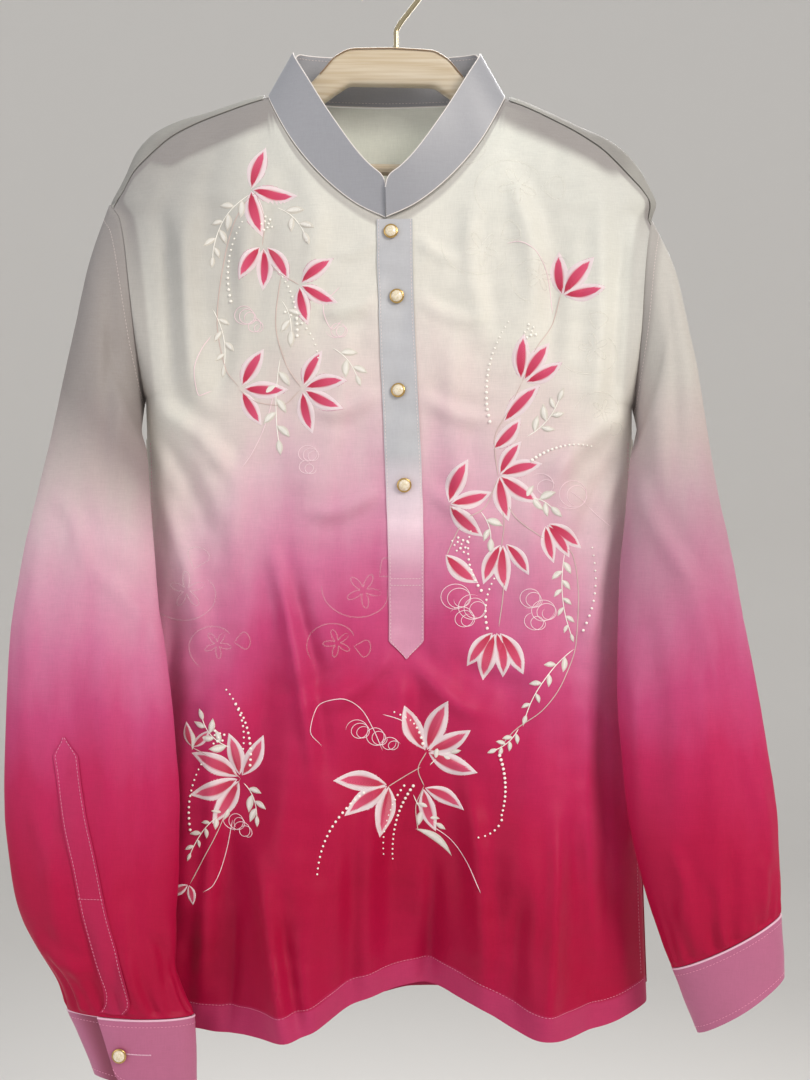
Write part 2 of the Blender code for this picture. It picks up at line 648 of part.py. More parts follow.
def build_bar(material):
    """The trouser bar: a rod with its ends bent up to the underside of the arms."""
    end = BAR_HALF
    under = look_up(HANGER, HANGER_COLUMNS, "x", "bottom", end) - BAR_CLEAR
    left = [(-end, 0.0, under)] + arc((-end + BAR_BEND, BAR_Z + BAR_BEND), BAR_BEND, 180.0, 270.0, 6)
    right = arc((end - BAR_BEND, BAR_Z + BAR_BEND), BAR_BEND, 270.0, 360.0, 6) + [(end, 0.0, under)]
    middle = [(x, 0.0, BAR_Z) for x in (-70.0, 0.0, 70.0)]
    path = [(x + HANGER_MIDDLE_X, y, hanger_tilt(x) + z) for x, y, z in left + middle + right]
    add_mesh("trouser_bar", *tube(path, BAR_RADIUS, 10, 0.0), material)


def main():
    for obj in list(bpy.data.objects):
        bpy.data.objects.remove(obj, do_unlink=True)
    look = {name: make_material(name) for name in MATERIALS}
    add_mesh("front", *shell(front_grid()), look["ivory_organza"])
    add_mesh("back", *shell(back_grid()), look["rose_organza"])
    add_mesh("yoke", *shell(yoke_grid()), look["ivory_organza"])
    for side, word in ((-1, "left"), (1, "right")):
        add_mesh(f"sleeve_{word}", *shell(sleeve_grid(side), wraps=True), look["rose_organza"])
        add_mesh(f"cuff_{word}", *shell(cuff_grid(side)), look["mauve_satin"])
        build_sleeve_placket(side, look["rose_organza"])
        build_cuff_button(side, look["pearl_button"])
    add_mesh("collar", *shell(collar_grid()), look["grey_satin"])
    add_mesh("placket", *shell(placket_grid(), lift=CLOTH + LAY_GAP), look["grey_satin"])
    build_front_buttons(look["pearl_button"])
    build_hanger(look["hanger_wood"])
    build_hook(look["gilt_wire"])
    build_bar(look["hanger_wood"])


main()
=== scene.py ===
"""A barong tagalog on its hanger: dip-dyed organza with hand embroidery, satin bands and pearl studs.

The shirt's front faces -Y, +X is the viewer's right and +Z is up. The origin is the inner top of the
hanger's hook, where a rod carries it. Tables are in millimetres, and mm() turns them into metres.
"""

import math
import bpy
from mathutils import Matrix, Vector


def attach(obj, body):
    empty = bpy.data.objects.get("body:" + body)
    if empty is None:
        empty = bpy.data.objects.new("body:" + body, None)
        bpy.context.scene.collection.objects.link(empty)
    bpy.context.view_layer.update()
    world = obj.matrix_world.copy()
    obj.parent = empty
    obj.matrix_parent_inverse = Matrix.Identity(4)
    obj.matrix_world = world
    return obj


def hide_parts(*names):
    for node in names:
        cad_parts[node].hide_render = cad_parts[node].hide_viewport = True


bl_info = {
    "name": "Barong Tagalog on a Hanger",
    "version": (1, 0, 0),
    "blender": (4, 5, 0),
    "location": "3D View > Sidebar > Barong",
    "description": "Builds a dip-dyed, embroidered barong on a clothes hanger and a plain studio",
    "category": "Object",
}

import bpy
import numpy as np

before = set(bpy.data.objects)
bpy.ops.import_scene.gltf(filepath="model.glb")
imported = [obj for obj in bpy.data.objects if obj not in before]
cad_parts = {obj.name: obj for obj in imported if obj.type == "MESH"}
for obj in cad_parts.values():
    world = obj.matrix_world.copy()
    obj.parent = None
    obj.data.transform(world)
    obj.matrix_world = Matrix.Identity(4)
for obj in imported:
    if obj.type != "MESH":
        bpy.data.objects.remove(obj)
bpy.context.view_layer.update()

# The cloth's form, in the frame's own sizes -------------------------------------------------------------

SEAM_GAP = 0.5          # between two pieces that are sewn edge to edge
HOOK_RADIUS = 29.0      # of the hook's bow, to the middle of its wire
HOOK_WIRE = 4.5         # its thickness
HOOK_STEM_X = 5.0       # where the stem enters the hanger
HANGER_CREST_Z = -84.6  # the hanger's top at its middle
NECK_SIDE = 0.434       # place across the shirt, from 0 to 1, of the side of the neck
NECK_GAP = 1.6          # more, between the front or yoke and the collar
CHEST_DEPTH = 42.0      # half the thickness of the body, front to back
RIDGE_LENGTH = 68.0     # of fall in which the depth comes to most of its whole
RIDGE_BEND = 21.0       # length of cloth that the ridge takes to turn down
ARMHOLE_HALF_DEPTH = 31.0
BACK_SEAM_DROP = 95.0   # length of cloth from the ridge back to the yoke's seam
PLACKET_WIDTH = 30.0
PLACKET_POINT = 15.0    # height of its pointed foot
PLACKET_TOP_Z = -243.0
PLACKET_FOOT_Z = -614.0
CUFF_OVERLAP = 30.0     # degrees of the cuff's ring
CUFF_SUNK = 3.2         # how far the cuff's under end lies inside
HANGER_TILT = 0.02      # fall for each unit to +X
HANGER_MIDDLE_X = 1.0
HANGER_SQUARE = 0.55    # power that squares the hanger's section: 1 is an oval
NECK_BACK_REACH = 100.0  # fall added behind the neck, which keeps it round
NECK_FRONT_SHARE = 0.62  # of the way round the neck from its front to the middle of its back
FOLD_FOOT_Z = -925.0    # where the long folds reach their full height
HEM_TURN = 21.0         # height of the turned-up hem
CREASE_DEPTH = 2.8      # how much deeper than the tables the body's creases are
TUCK = 0.01             # share of the sleeve's length that is hidden under the armhole's seam
CUFF_CORNER = 9.0       # radius
COLLAR_CORNER = 8.0     # radius
PLACKET_WALL = 0.7
PLACKET_LIFT = 1.1      # from the middle of the cloth to that of the strip
PLACKET_SKIN = PLACKET_LIFT + PLACKET_WALL / 2.0
CLOTH_SKIN = 0.3        # from the middle of the organza to its outer skin
STITCH_PITCH = 1.1      # between the ridges of satin stitch
SIDE_SEAM_ENDS = (-426.0, -900.0)
FRONT_GRID = (170, 264)  # columns and rows of points
BACK_GRID = (120, 180)
SLEEVE_GRID = (178, 208)
SLEEVE_MAP = (360, 320)  # of the finer grid that the plackets are laid on
PETAL_LONGER, PETAL_WIDER, KNOT_SIZE = 1.12, 1.15, 0.92     # against the tables
CAMERA_PLACE = (0.0128, -1.2, -0.5135)
SKY_COLOUR, SKY_STRENGTH = "EEEFF0", 0.84

RIDGE = [               # place across, height of the shoulder ridge
    (-1.00, -222.0), (-0.95, -199.0), (-0.90, -175.0), (-0.83, -159.0), (-0.74, -149.0),
    (-0.59, -137.0), (-0.43, -126.0), (-0.20, -119.0), (0.00, -118.0), (0.20, -119.0),
    (0.43, -127.5), (0.62, -145.0), (0.72, -156.0), (0.83, -171.0), (0.90, -188.0),
    (0.95, -208.0), (1.00, -236.0),
]
SIDE = [                # height, half the width, middle
    (-940.0, 223.0, 2.0), (-800.0, 218.0, 2.0), (-600.0, 213.0, 1.0), (-400.0, 211.0, -1.0),
    (-330.0, 216.0, -2.0), (-270.0, 222.0, -3.0), (-238.0, 229.0, -3.0), (-218.0, 241.0, -3.0),
    (-100.0, 241.0, -3.0),
]
ARMPIT_Z = {-1: -390.0, 1: -398.0}
SHOULDER_SEAM = [       # place across, length of cloth forward of the ridge
    (0.38, 15.0), (0.60, 19.0), (0.75, 25.0), (0.86, 34.0), (0.94, 28.0), (1.00, 14.0)]
NECK = [                # around, seam out, seam height, edge out, edge lean, edge height
    (0.00, 1.0, -241.0, 1.0, -3.5, -209.0), (0.12, 25.0, -229.0, 20.0, -2.5, -191.0),
    (0.28, 57.0, -202.0, 42.0, -1.0, -161.0), (0.46, 84.0, -167.0, 63.0, 1.0, -127.0),
    (0.62, 102.0, -129.0, 81.0, 0.0, -92.0), (0.74, 92.0, -124.0, 76.0, -3.0, -84.5),
    (0.88, 52.0, -125.0, 44.0, -4.0, -84.0), (1.00, 0.0, -126.0, 0.0, -4.0, -84.0),
]
HEM = [                 # place across, height in front, height behind
    (-1.00, -930.0, -930.0), (-0.70, -930.0, -926.0), (-0.39, -923.0, -920.0), (-0.10, -903.0, -917.0),
    (0.10, -896.0, -916.0), (0.30, -905.0, -917.0), (0.55, -923.0, -920.0), (0.78, -926.0, -920.0),
    (1.00, -915.0, -915.0),
]
FRONT_FOLDS = [         # top height, place there, place at the hem, width, how far out
    (-500.0, -52.0, -84.0, 36.0, 43.0), (-520.0, 122.0, 124.0, 38.0, 43.0),
    (-640.0, 14.0, 24.0, 40.0, -27.0), (-620.0, -128.0, -150.0, 20.0, -9.0),
    (-300.0, -90.0, -120.0, 16.0, -5.0), (-560.0, 160.0, 178.0, 18.0, -9.0),
]
BACK_FOLDS = [
    (-430.0, -96.0, -122.0, 34.0, 30.0), (-560.0, -30.0, -40.0, 30.0, -14.0),
    (-520.0, 30.0, 34.0, 30.0, 17.0), (-480.0, 110.0, 132.0, 34.0, 27.0),
]
# Rings of the sleeves and cuffs: outer x and z, inner x and z, half depth, middle's depth.
SLEEVES = {
    -1: [
        (-260.0, -280.0, -214.5, -416.0, 29.0, -16.0), (-268.0, -334.0, -207.5, -440.0, 26.0, -27.0),
        (-280.0, -395.0, -203.5, -470.0, 24.0, -34.0), (-298.0, -480.0, -199.5, -518.0, 24.0, -39.0),
        (-309.0, -530.0, -196.0, -556.0, 24.0, -42.0), (-318.0, -597.0, -189.0, -606.0, 24.0, -46.0),
        (-321.0, -672.0, -179.5, -677.0, 25.0, -49.0), (-321.0, -739.0, -176.0, -739.0, 26.0, -51.0),
        (-316.5, -785.0, -176.0, -785.0, 27.0, -52.0), (-306.0, -826.0, -179.0, -829.0, 28.0, -53.0),
        (-293.0, -852.0, -179.0, -862.0, 27.0, -54.0), (-274.0, -884.0, -171.0, -893.0, 22.0, -54.0),
        (-268.0, -903.0, -163.0, -908.0, 19.0, -54.0),
    ],
    1: [
        (246.0, -285.5, 213.5, -424.0, 29.0, -16.0), (255.0, -338.5, 205.0, -446.0, 26.0, -27.0),
        (262.0, -383.0, 201.5, -472.0, 24.0, -34.0), (271.5, -446.0, 198.0, -505.0, 24.0, -38.0),
        (284.5, -512.5, 193.5, -547.0, 24.0, -42.0), (293.5, -564.0, 191.0, -600.0, 24.0, -46.0),
        (307.0, -639.0, 191.0, -648.0, 25.0, -49.0), (316.0, -693.0, 194.5, -697.0, 26.0, -50.0),
        (323.0, -743.0, 199.5, -743.0, 27.0, -51.0), (325.0, -780.0, 207.0, -782.0, 27.0, -52.0),
        (326.0, -800.0, 219.0, -824.0, 26.0, -53.0), (325.5, -815.0, 229.0, -853.0, 22.0, -54.0),
        (325.0, -824.0, 235.0, -869.0, 19.0, -54.0),
    ],
}
CUFFS = {
    -1: [
        (-268.4, -904.4, -162.6, -909.4, 19.5, -54.0), (-257.0, -931.0, -161.8, -938.0, 19.5, -54.0),
        (-245.5, -957.5, -161.0, -967.0, 19.5, -54.0),
    ],
    1: [
        (325.7, -825.3, 235.7, -870.3, 19.5, -54.0), (327.0, -850.5, 246.0, -896.5, 19.5, -54.0),
        (328.5, -876.0, 256.5, -923.0, 19.5, -54.0),
    ],
}
CUFF_OPENING_ANGLE = {-1: 63.0, 1: -63.0}
CUFF_BUTTON_TURN = 14.0
SLEEVE_PLACKET = [(0.54, 76.0), (0.70, 90.0), (0.85, 97.0), (0.94, 88.0), (0.985, 78.0)]
SLEEVE_PLACKET_WIDTH = 21.0
BUTTONS = [(0.9, -254.0), (6.0, -308.0), (7.7, -388.0), (12.0, -467.0)]
HANGER = [              # place, top, bottom, thickness
    (0.0, -84.6, -118.5, 14.0), (34.0, -86.0, -118.5, 14.0), (48.0, -92.5, -126.0, 14.5),
    (60.0, -106.0, -134.5, 15.0), (72.0, -119.0, -139.0, 16.0), (105.0, -136.0, -156.0, 16.0),
    (140.0, -149.0, -170.0, 17.0), (170.0, -161.5, -182.0, 17.0), (190.0, -174.0, -191.0, 16.0),
    (197.0, -180.0, -189.0, 11.0),
]

# Creases: x and z of both ends, width, height (a trough if negative) and sideways bow -------------------

FRONT_CREASES = [
    # down from the chest, beside the placket and to the hem
    (-101, -515, -62, -722, 7, 3.4, 5), (-86, -540, -52, -640, 9, -1.6, -3),
    (-116, -770, -86, -938, 10, 4.2, 4), (-92, -820, -70, -930, 7, -2.6, -2),
    (139, -735, 128, -925, 9, 4.4, 4), (112, -790, 106, -925, 8, -2.6, -3),
    (60, -690, 78, -920, 9, 2.6, 6), (34, -770, 30, -905, 8, -2.4, 4),
    (-8, -700, -18, -905, 10, 2.6, -6), (-42, -760, -50, -915, 7, 2.0, 3),
    (170, -640, 178, -900, 8, 2.2, -5), (196, -560, 198, -800, 8, -1.8, 3),
    (-150, -660, -166, -930, 9, 2.6, 5), (-186, -560, -190, -800, 8, -2.0, -3),
    (-130, -820, -138, -932, 6, -1.8, 2), (4, -604, -56, -655, 8, 2.0, 6),
    (16, -610, 78, -662, 8, 2.0, -6), (9, -622, 4, -700, 9, 2.2, 3), (-30, -612, -104, -642, 9, -1.5, 8),
    (44, -606, 120, -640, 10, -1.5, -8),
    # pulls at the buttons
    (-6, -256, -48, -276, 5, 1.0, 4), (22, -256, 60, -280, 5, 1.0, -4), (-12, -310, -62, -322, 6, 1.3, 5),
    (24, -310, 78, -330, 6, 1.2, -5), (-11, -389, -66, -408, 7, 1.5, 6), (26, -391, 84, -412, 7, 1.4, -6),
    (-5, -468, -70, -494, 7, 1.6, 6), (30, -469, 92, -496, 7, 1.5, -6),
    # from the collar and the shoulders
    (-92, -182, -128, -322, 10, 2.0, -8), (-62, -214, -84, -360, 9, 1.5, 6),
    (96, -190, 122, -330, 10, 2.0, 8), (66, -220, 82, -350, 8, 1.3, -5),
    (-168, -200, -158, -420, 11, 2.6, -8), (-196, -230, -184, -400, 8, -2.0, 5),
    (176, -205, 168, -430, 11, 2.4, 7), (202, -240, 190, -410, 8, -2.0, -5),
    (-138, -235, -146, -400, 9, -1.6, 6), (146, -250, 138, -380, 9, -1.4, -5),
    (-40, -300, -60, -470, 10, 1.2, 8), (52, -330, 66, -500, 10, 1.2, -7),
    # from the armpits
    (-204, -398, -128, -470, 9, 2.2, 9), (-204, -418, -150, -520, 9, -1.7, 8),
    (205, -406, 132, -474, 9, 2.2, -9), (205, -430, 158, -530, 9, -1.7, -8),
    (-200, -470, -160, -610, 9, 1.8, 7), (203, -480, 168, -620, 9, 1.8, -7),
    (-120, -430, -128, -560, 10, 1.2, -7), (108, -440, 112, -600, 11, 1.3, 8),
]
BACK_CREASES = [
    (-176, -215, -168, -470, 11, 2.6, 8), (-150, -260, -160, -700, 10, -2.2, -9),
    (-110, -230, -126, -560, 12, 2.6, 10), (-72, -240, -92, -800, 11, -2.4, 8),
    (-38, -226, -48, -610, 12, 2.2, -8), (0, -225, -6, -700, 13, 2.6, 7),
    (34, -228, 30, -560, 10, -1.8, -5), (66, -232, 84, -720, 12, 2.6, 9),
    (104, -236, 116, -640, 11, -2.0, 7), (140, -240, 150, -760, 12, 2.8, -9),
    (178, -240, 172, -480, 10, 2.2, -6), (-186, -560, -186, -900, 9, 2.4, 6),
    (-60, -640, -66, -915, 10, 3.0, 5), (-128, -700, -146, -925, 10, 3.2, -6),
    (18, -650, 22, -915, 11, -3.0, 6), (60, -700, 58, -915, 9, 2.6, -4),
    (122, -680, 140, -918, 10, 3.4, 6), (184, -600, 186, -900, 9, -2.2, -5),
    (-204, -400, -120, -500, 10, 2.4, 10), (205, -408, 128, -505, 10, 2.4, -10),
]
SLEEVE_CREASES = {
    -1: [
        (-226, -236, -222, -330, 6, 2.2, -2), (-238, -250, -236, -430, 7, -2.4, 3),
        (-212, -330, -228, -470, 8, 2.2, -4), (-277, -472, -250, -540, 8, 2.0, 5),
        (-252, -535, -184, -618, 8, 2.8, 9), (-286, -500, -300, -700, 10, 2.2, -6),
        (-262, -600, -290, -800, 11, -2.4, 7), (-232, -560, -214, -760, 10, 2.8, -9),
        (-206, -650, -214, -850, 9, -2.4, 6), (-190, -520, -186, -700, 6, 1.8, -3),
        (-300, -720, -268, -866, 9, 2.6, 8), (-296, -838, -244, -868, 7, 3.4, -4),
        (-236, -690, -232, -880, 9, 2.2, 5), (-250, -820, -240, -895, 6, -2.6, 2),
        (-214, -806, -204, -898, 6, 3.0, -4), (-197, -836, -182, -884, 5, -3.4, 5),
        (-186, -820, -176, -888, 5, 2.4, 4), (-228, -850, -222, -900, 5, -2.2, 1),
    ],
    1: [
        (218, -262, 208, -345, 6, 2.4, -3), (232, -274, 238, -445, 7, -2.4, 4),
        (212, -345, 226, -490, 8, 2.2, 4), (250, -330, 262, -500, 9, 2.4, 6),
        (204, -455, 262, -560, 8, 2.6, -9), (232, -520, 280, -690, 10, 2.6, 8),
        (208, -560, 222, -760, 9, -2.4, 6), (276, -560, 300, -760, 9, -2.2, -7),
        (250, -620, 268, -810, 10, 2.6, 7), (198, -600, 204, -760, 6, 1.8, 3),
        (300, -700, 312, -800, 7, 2.6, 4), (280, -760, 286, -838, 6, -2.6, -3),
        (230, -760, 250, -856, 6, 3.0, 4), (258, -790, 266, -850, 5, -2.4, 2),
        (240, -800, 244, -862, 5, 2.2, -3), (304, -770, 306, -828, 5, 2.6, 2),
    ],
}


def mm(points):
    """Millimetres as metres."""
    return np.asarray(points, float) / 1000.0


def linear(hex_colour):
    """An sRGB hex colour as linear RGBA."""
    srgb = np.array([int(hex_colour[i:i + 2], 16) for i in (0, 2, 4)]) / 255.0
    return (*np.where(srgb <= 0.04045, srgb / 12.92, ((srgb + 0.055) / 1.055) ** 2.4), 1.0)


def curve(at, keys, values):
    """A smooth curve through the values at ascending keys. Its slopes are the harmonic means of those
    on either side, and zero where they differ in sign, so it never overshoots. Values may have more
    axes."""
    keys, values, at = np.asarray(keys, float), np.asarray(values, float), np.asarray(at, float)
    more = (1,) * (values.ndim - 1)
    steps = np.diff(keys).reshape(-1, *more)
    rises = np.diff(values, axis=0) / steps
    before, after = np.concatenate([rises[:1], rises]), np.concatenate([rises, rises[-1:]])
    same_way = before * after > 0
    slopes = np.where(same_way, 2.0 * before * after / np.where(same_way, before + after, 1.0), 0.0)
    at = np.clip(at, keys[0], keys[-1])
    i = np.clip(np.searchsorted(keys, at) - 1, 0, len(keys) - 2)
    t = ((at - keys[i]) / np.diff(keys)[i]).reshape(at.shape + more)
    h = steps[i]
    if not more:
        h = np.diff(keys)[i]
    return ((2 * t**3 - 3 * t**2 + 1) * values[i] + (t**3 - 2 * t**2 + t) * h * slopes[i]
            + (3 * t**2 - 2 * t**3) * values[i + 1] + (t**3 - t**2) * h * slopes[i + 1])


def smooth_step(value, start, end):
    """0 up to start, 1 from end on, and a smooth S between. start may be above end."""
    t = np.clip((value - start) / (end - start), 0.0, 1.0)
    return t * t * (3.0 - 2.0 * t)


def look_up(table, place, at):
    """The smooth curve through one column of a table, against its first column."""
    rows = np.array(table, float)
    return curve(at, rows[:, 0], rows[:, place])


def unit(vectors):
    """Vectors made one long."""
    return vectors / np.maximum(np.linalg.norm(vectors, axis=-1, keepdims=True), 1e-12)


def travel_along(points):
    """The distance of each point from the first, along the line through them."""
    return np.concatenate([[0.0], np.cumsum(np.linalg.norm(np.diff(points, axis=0), axis=1))])


def round_turns(count):
    """Angles evenly round a circle."""
    return np.arange(count) * 2.0 * math.pi / count


# Surfaces -----------------------------------------------------------------------------------------------

def ridge_z(a):
    """Height of the shoulder ridge at a place across the shirt, from -1 to 1."""
    return look_up(RIDGE, 1, a)


def half_width(z):
    """Half the body's width at a height."""
    return look_up(SIDE, 1, z)


def middle_x(z):
    """The body's middle at a height."""
    return look_up(SIDE, 2, z)


def fall_of(length):
    """How far cloth has fallen below the ridge after a length of it: round at first, then straight."""
    return length**2 / (length + RIDGE_BEND)


def length_of(fall):
    """The length of cloth that falls so far: the inverse of fall_of."""
    return (fall + np.sqrt(fall**2 + 4.0 * RIDGE_BEND * fall)) / 2.0


def across_at(x, z):
    """The place across the shirt, from -1 to 1, of a place seen from the front."""
    return np.clip((x - middle_x(z)) / half_width(z), -1.0, 1.0)


def length_down(a, z):
    """Length of cloth from the ridge down to a height."""
    return length_of(np.maximum(ridge_z(a) - z, 0.0))


def spread_across(columns):
    """Places across the shirt that crowd a little to its sides."""
    return np.sin(np.linspace(-1.0, 1.0, columns) * 1.2) / math.sin(1.2)


def armhole_depth(a, z):
    """Half the armhole's depth at a height: an ellipse from the shoulder's tip to the armpit."""
    tip = np.where(a < 0, RIDGE[0][1], RIDGE[-1][1])
    pit = np.where(a < 0, ARMPIT_Z[-1], ARMPIT_Z[1])
    share = np.clip((z - tip) / (pit - tip), 0.0, 1.0)
    return ARMHOLE_HALF_DEPTH * 2.0 * np.sqrt(share * (1.0 - share))


def fold_height(x, z, folds):
    """The sum of the long folds, each a bell across its crest that grows from its top to the hem."""
    total = np.zeros_like(x)
    for top_z, top_x, hem_x, width, out in folds:
        run = np.clip((top_z - z) / (top_z - FOLD_FOOT_Z), 0.0, 1.1)
        wide = width * (0.75 + 0.25 * run)
        bell = np.exp(-0.5 * ((x - top_x - (hem_x - top_x) * run) / wide) ** 2)
        total += out * smooth_step(run, 0.0, 1.05) * bell
    return total


def torso(a, length, side):
    """A point of the torso: a across it, and a length of cloth down from the ridge, on the front (side
    -1) or the back (side 1). Its depth is the root of one less an exponential of the fall, with folds."""
    a, length = np.broadcast_arrays(np.asarray(a, float), np.asarray(length, float))
    fall = fall_of(length)
    z = ridge_z(a) - fall
    x = middle_x(z) + a * half_width(z)
    deep = CHEST_DEPTH - (0.0 if side < 0 else 4.0) - 8.0 * smooth_step(-z, 450.0, 900.0)
    round_neck = NECK_BACK_REACH * np.clip(1.0 - (a / 0.44) ** 2, 0.0, 1.0) if side > 0 else 0.0
    inner = deep * np.sqrt(1.0 - np.exp(-(fall + round_neck) / RIDGE_LENGTH))
    spread = np.sqrt(np.clip(1.0 - np.abs(a) ** 5, 0.0, 1.0))
    exact = armhole_depth(a, z)
    soft = 25.0 * smooth_step(z, -470.0, -350.0) * smooth_step(z, -200.0, -290.0)
    edge = soft + (exact - soft) * np.abs(a) ** 22 + SEAM_GAP
    folds = fold_height(x, z, FRONT_FOLDS if side < 0 else BACK_FOLDS)
    depth = edge + (inner - np.minimum(edge, inner)) * spread + folds * spread
    middle = 7.0 * np.abs(a) ** 3 * smooth_step(-z, 380.0, 520.0)
    return np.stack([x, middle + side * depth, z], axis=-1)


def neck_half(place, at):
    """A column of the neck's table, at shares of the way round from the front."""
    return look_up(NECK, place, at)


def neck_length(a, on_front):
    """Length of cloth from the ridge to the neck's seam, for a place across the shirt inside the neck."""
    around = np.linspace(*((0.0, NECK_FRONT_SHARE) if on_front else (NECK_FRONT_SHARE, 1.0)), 200)
    out, z = neck_half(1, around), neck_half(2, around)
    order = np.argsort(out)
    seam = np.interp(np.abs(a) * half_width(-130.0), out[order], z[order])
    return length_down(a, seam)


def seam_length(a):
    """Length of cloth from the ridge forward to the shoulder's seam."""
    return look_up(SHOULDER_SEAM, 1, np.abs(a))


def hem_length(a, place):
    """Length of cloth from the ridge to the hem, by the hem table's column."""
    return length_of(ridge_z(a) - look_up(HEM, place, a))


def top_length(a):
    """Length of cloth from the ridge to the front's upper edge: the neck's seam, then the shoulder's."""
    inside = np.abs(a) < NECK_SIDE
    seam = seam_length(a)
    return np.where(inside, np.maximum(neck_length(a, True) + NECK_GAP, seam), seam) + SEAM_GAP


def creases(x, z, table):
    """The sum of the creases: each is a bell across a bowed line with a shallower trough beside it, and it
    fades in and out along its length."""
    total = np.zeros(np.broadcast(x, z).shape)
    for x0, z0, x1, z1, width, height, bow in table:
        dx, dz = x1 - x0, z1 - z0
        length = math.hypot(dx, dz)
        t = ((x - x0) * dx + (z - z0) * dz) / length**2
        inside = np.clip(t, 0.0, 1.0)
        off = ((z - z0) * dx - (x - x0) * dz) / length - bow * 4.0 * inside * (1.0 - inside)
        ends = smooth_step(t, -0.08, 0.3) * smooth_step(t, 1.08, 0.7)
        trough = 0.4 * np.exp(-((off / width - 1.7) / 1.1) ** 2)
        total += height * ends * (np.exp(-(off / width) ** 2) - trough)
    return total


def ripples(x, z, size, seed, count=9):
    """Soft unevenness: a sum of plane waves with random headings, phases and lengths about the size."""
    chance = np.random.default_rng(seed)
    heading, phase = chance.uniform(0.0, math.pi, count), chance.uniform(0.0, 2.0 * math.pi, count)
    number = 2.0 * math.pi / (size * chance.uniform(0.6, 1.7, count))
    total = np.zeros(np.broadcast(x, z).shape)
    for turn, start, rate in zip(heading, phase, number):
        total += np.sin((x * math.cos(turn) + z * math.sin(turn)) * rate + start)
    return total / math.sqrt(count)


def panel_relief(x, z, side):
    """How far a body panel's creases stand out, faded at its seams and stepped at the turned-up hem."""
    a = across_at(x, z)
    length = length_down(a, z)
    top = top_length(a) if side < 0 else BACK_SEAM_DROP
    fade = smooth_step(length - top, 1.0, 42.0) * (1.0 - a**12)
    table = FRONT_CREASES if side < 0 else BACK_CREASES
    low = smooth_step(-z, 420.0, 800.0)
    uneven = ((0.55 + 0.7 * low) * ripples(x * 1.5, z * 0.7, 78.0, 5 + side)
              + 0.16 * ripples(x, z, 24.0, 11 + side))
    above_hem = z - look_up(HEM, 1 if side < 0 else 2, a)
    turned = 0.5 * smooth_step(above_hem, HEM_TURN + 1.0, HEM_TURN - 1.0)
    return CREASE_DEPTH * (creases(x, z, table) + uneven) * fade + turned


def front_at(x, z):
    """The creased front, at a place seen from the front."""
    a = across_at(x, z)
    points = torso(a, length_down(a, z), -1)
    points[..., 1] -= panel_relief(points[..., 0], points[..., 2], -1)
    return points


def front_place(x, z, step=0.7):
    """(points, outward normals) of the creased front."""
    points = front_at(x, z)
    return points, unit(np.cross(front_at(x + step, z) - points, front_at(x, z + step) - points))


def body_grid(side, columns, rows):
    """A body panel: columns crowd a little to the sides, and rows run from the upper edge to the hem."""
    across = spread_across(columns)
    top = top_length(across) if side < 0 else np.full(columns, BACK_SEAM_DROP + SEAM_GAP)
    share = np.linspace(0.0, 1.0, rows)[:, None] ** 1.1
    lengths = top + (hem_length(across, 1 if side < 0 else 2) - top) * share
    grid = torso(np.broadcast_to(across, lengths.shape), lengths, side)
    grid[..., 1] += side * panel_relief(grid[..., 0], grid[..., 2], side)
    grid = grid if side < 0 else grid[:, ::-1]
    normal = normals_of(grid)[:1]
    upward = unit(grid[:1] - grid[1:2])
    tucked = [grid[:1] + upward * out - normal * dip
              for out, dip in ((4.5, 1.9), (2.0, 1.7), (-0.3, 1.1))]
    return np.concatenate([*tucked, grid[1:]])


def yoke_grid(columns=150, rows=60):
    """The yoke runs from its back seam, up over the ridge, to the front seam or to the neck."""
    across = spread_across(columns)
    over = np.abs(across) >= NECK_SIDE
    reach = np.where(over, seam_length(across) - SEAM_GAP, -neck_length(across, False) - NECK_GAP)
    signed = -BACK_SEAM_DROP + (reach + BACK_SEAM_DROP) * np.linspace(0.0, 1.0, rows)[:, None]
    wide = np.broadcast_to(across, signed.shape)
    length = np.abs(signed)
    grid = np.where((signed > 0)[..., None], torso(wide, length, -1), torso(wide, length, 1))
    fade = smooth_step(signed + BACK_SEAM_DROP, 0.0, 25.0) * smooth_step(reach - signed, 0.0, 22.0)
    fade = fade * (1.0 - wide**12)
    lift = 0.7 * ripples(grid[..., 0], signed, 62.0, 31) * fade
    grid = grid[::-1]
    return grid + normals_of(grid) * lift[::-1, :, None]


def flat_ring(row, angles):
    """A flattened ring: an ellipse from its outer to its inner end, drawn out a little at both."""
    outer_x, outer_z, inner_x, inner_z, half_depth, middle_y = row
    cosine, sine = np.cos(angles), np.sin(angles)
    x = (outer_x + inner_x) / 2.0 + (outer_x - inner_x) / 2.0 * cosine
    z = (outer_z + inner_z) / 2.0 + (outer_z - inner_z) / 2.0 * cosine
    return np.stack([x, middle_y - half_depth * np.sign(sine) * np.abs(sine) ** 1.25, z], -1)


def armhole_ring(side, angles):
    """The torso's armhole, as the sleeve's first ring: angle 0 is the shoulder's tip and pi the armpit."""
    tip = RIDGE[0][1] if side < 0 else RIDGE[-1][1]
    z = tip + (ARMPIT_Z[side] - tip) * (1.0 - np.cos(angles)) / 2.0
    x = middle_x(z) + side * (half_width(z) + SEAM_GAP + 0.9)
    return np.stack([x, -ARMHOLE_HALF_DEPTH * np.sin(angles), z], -1)


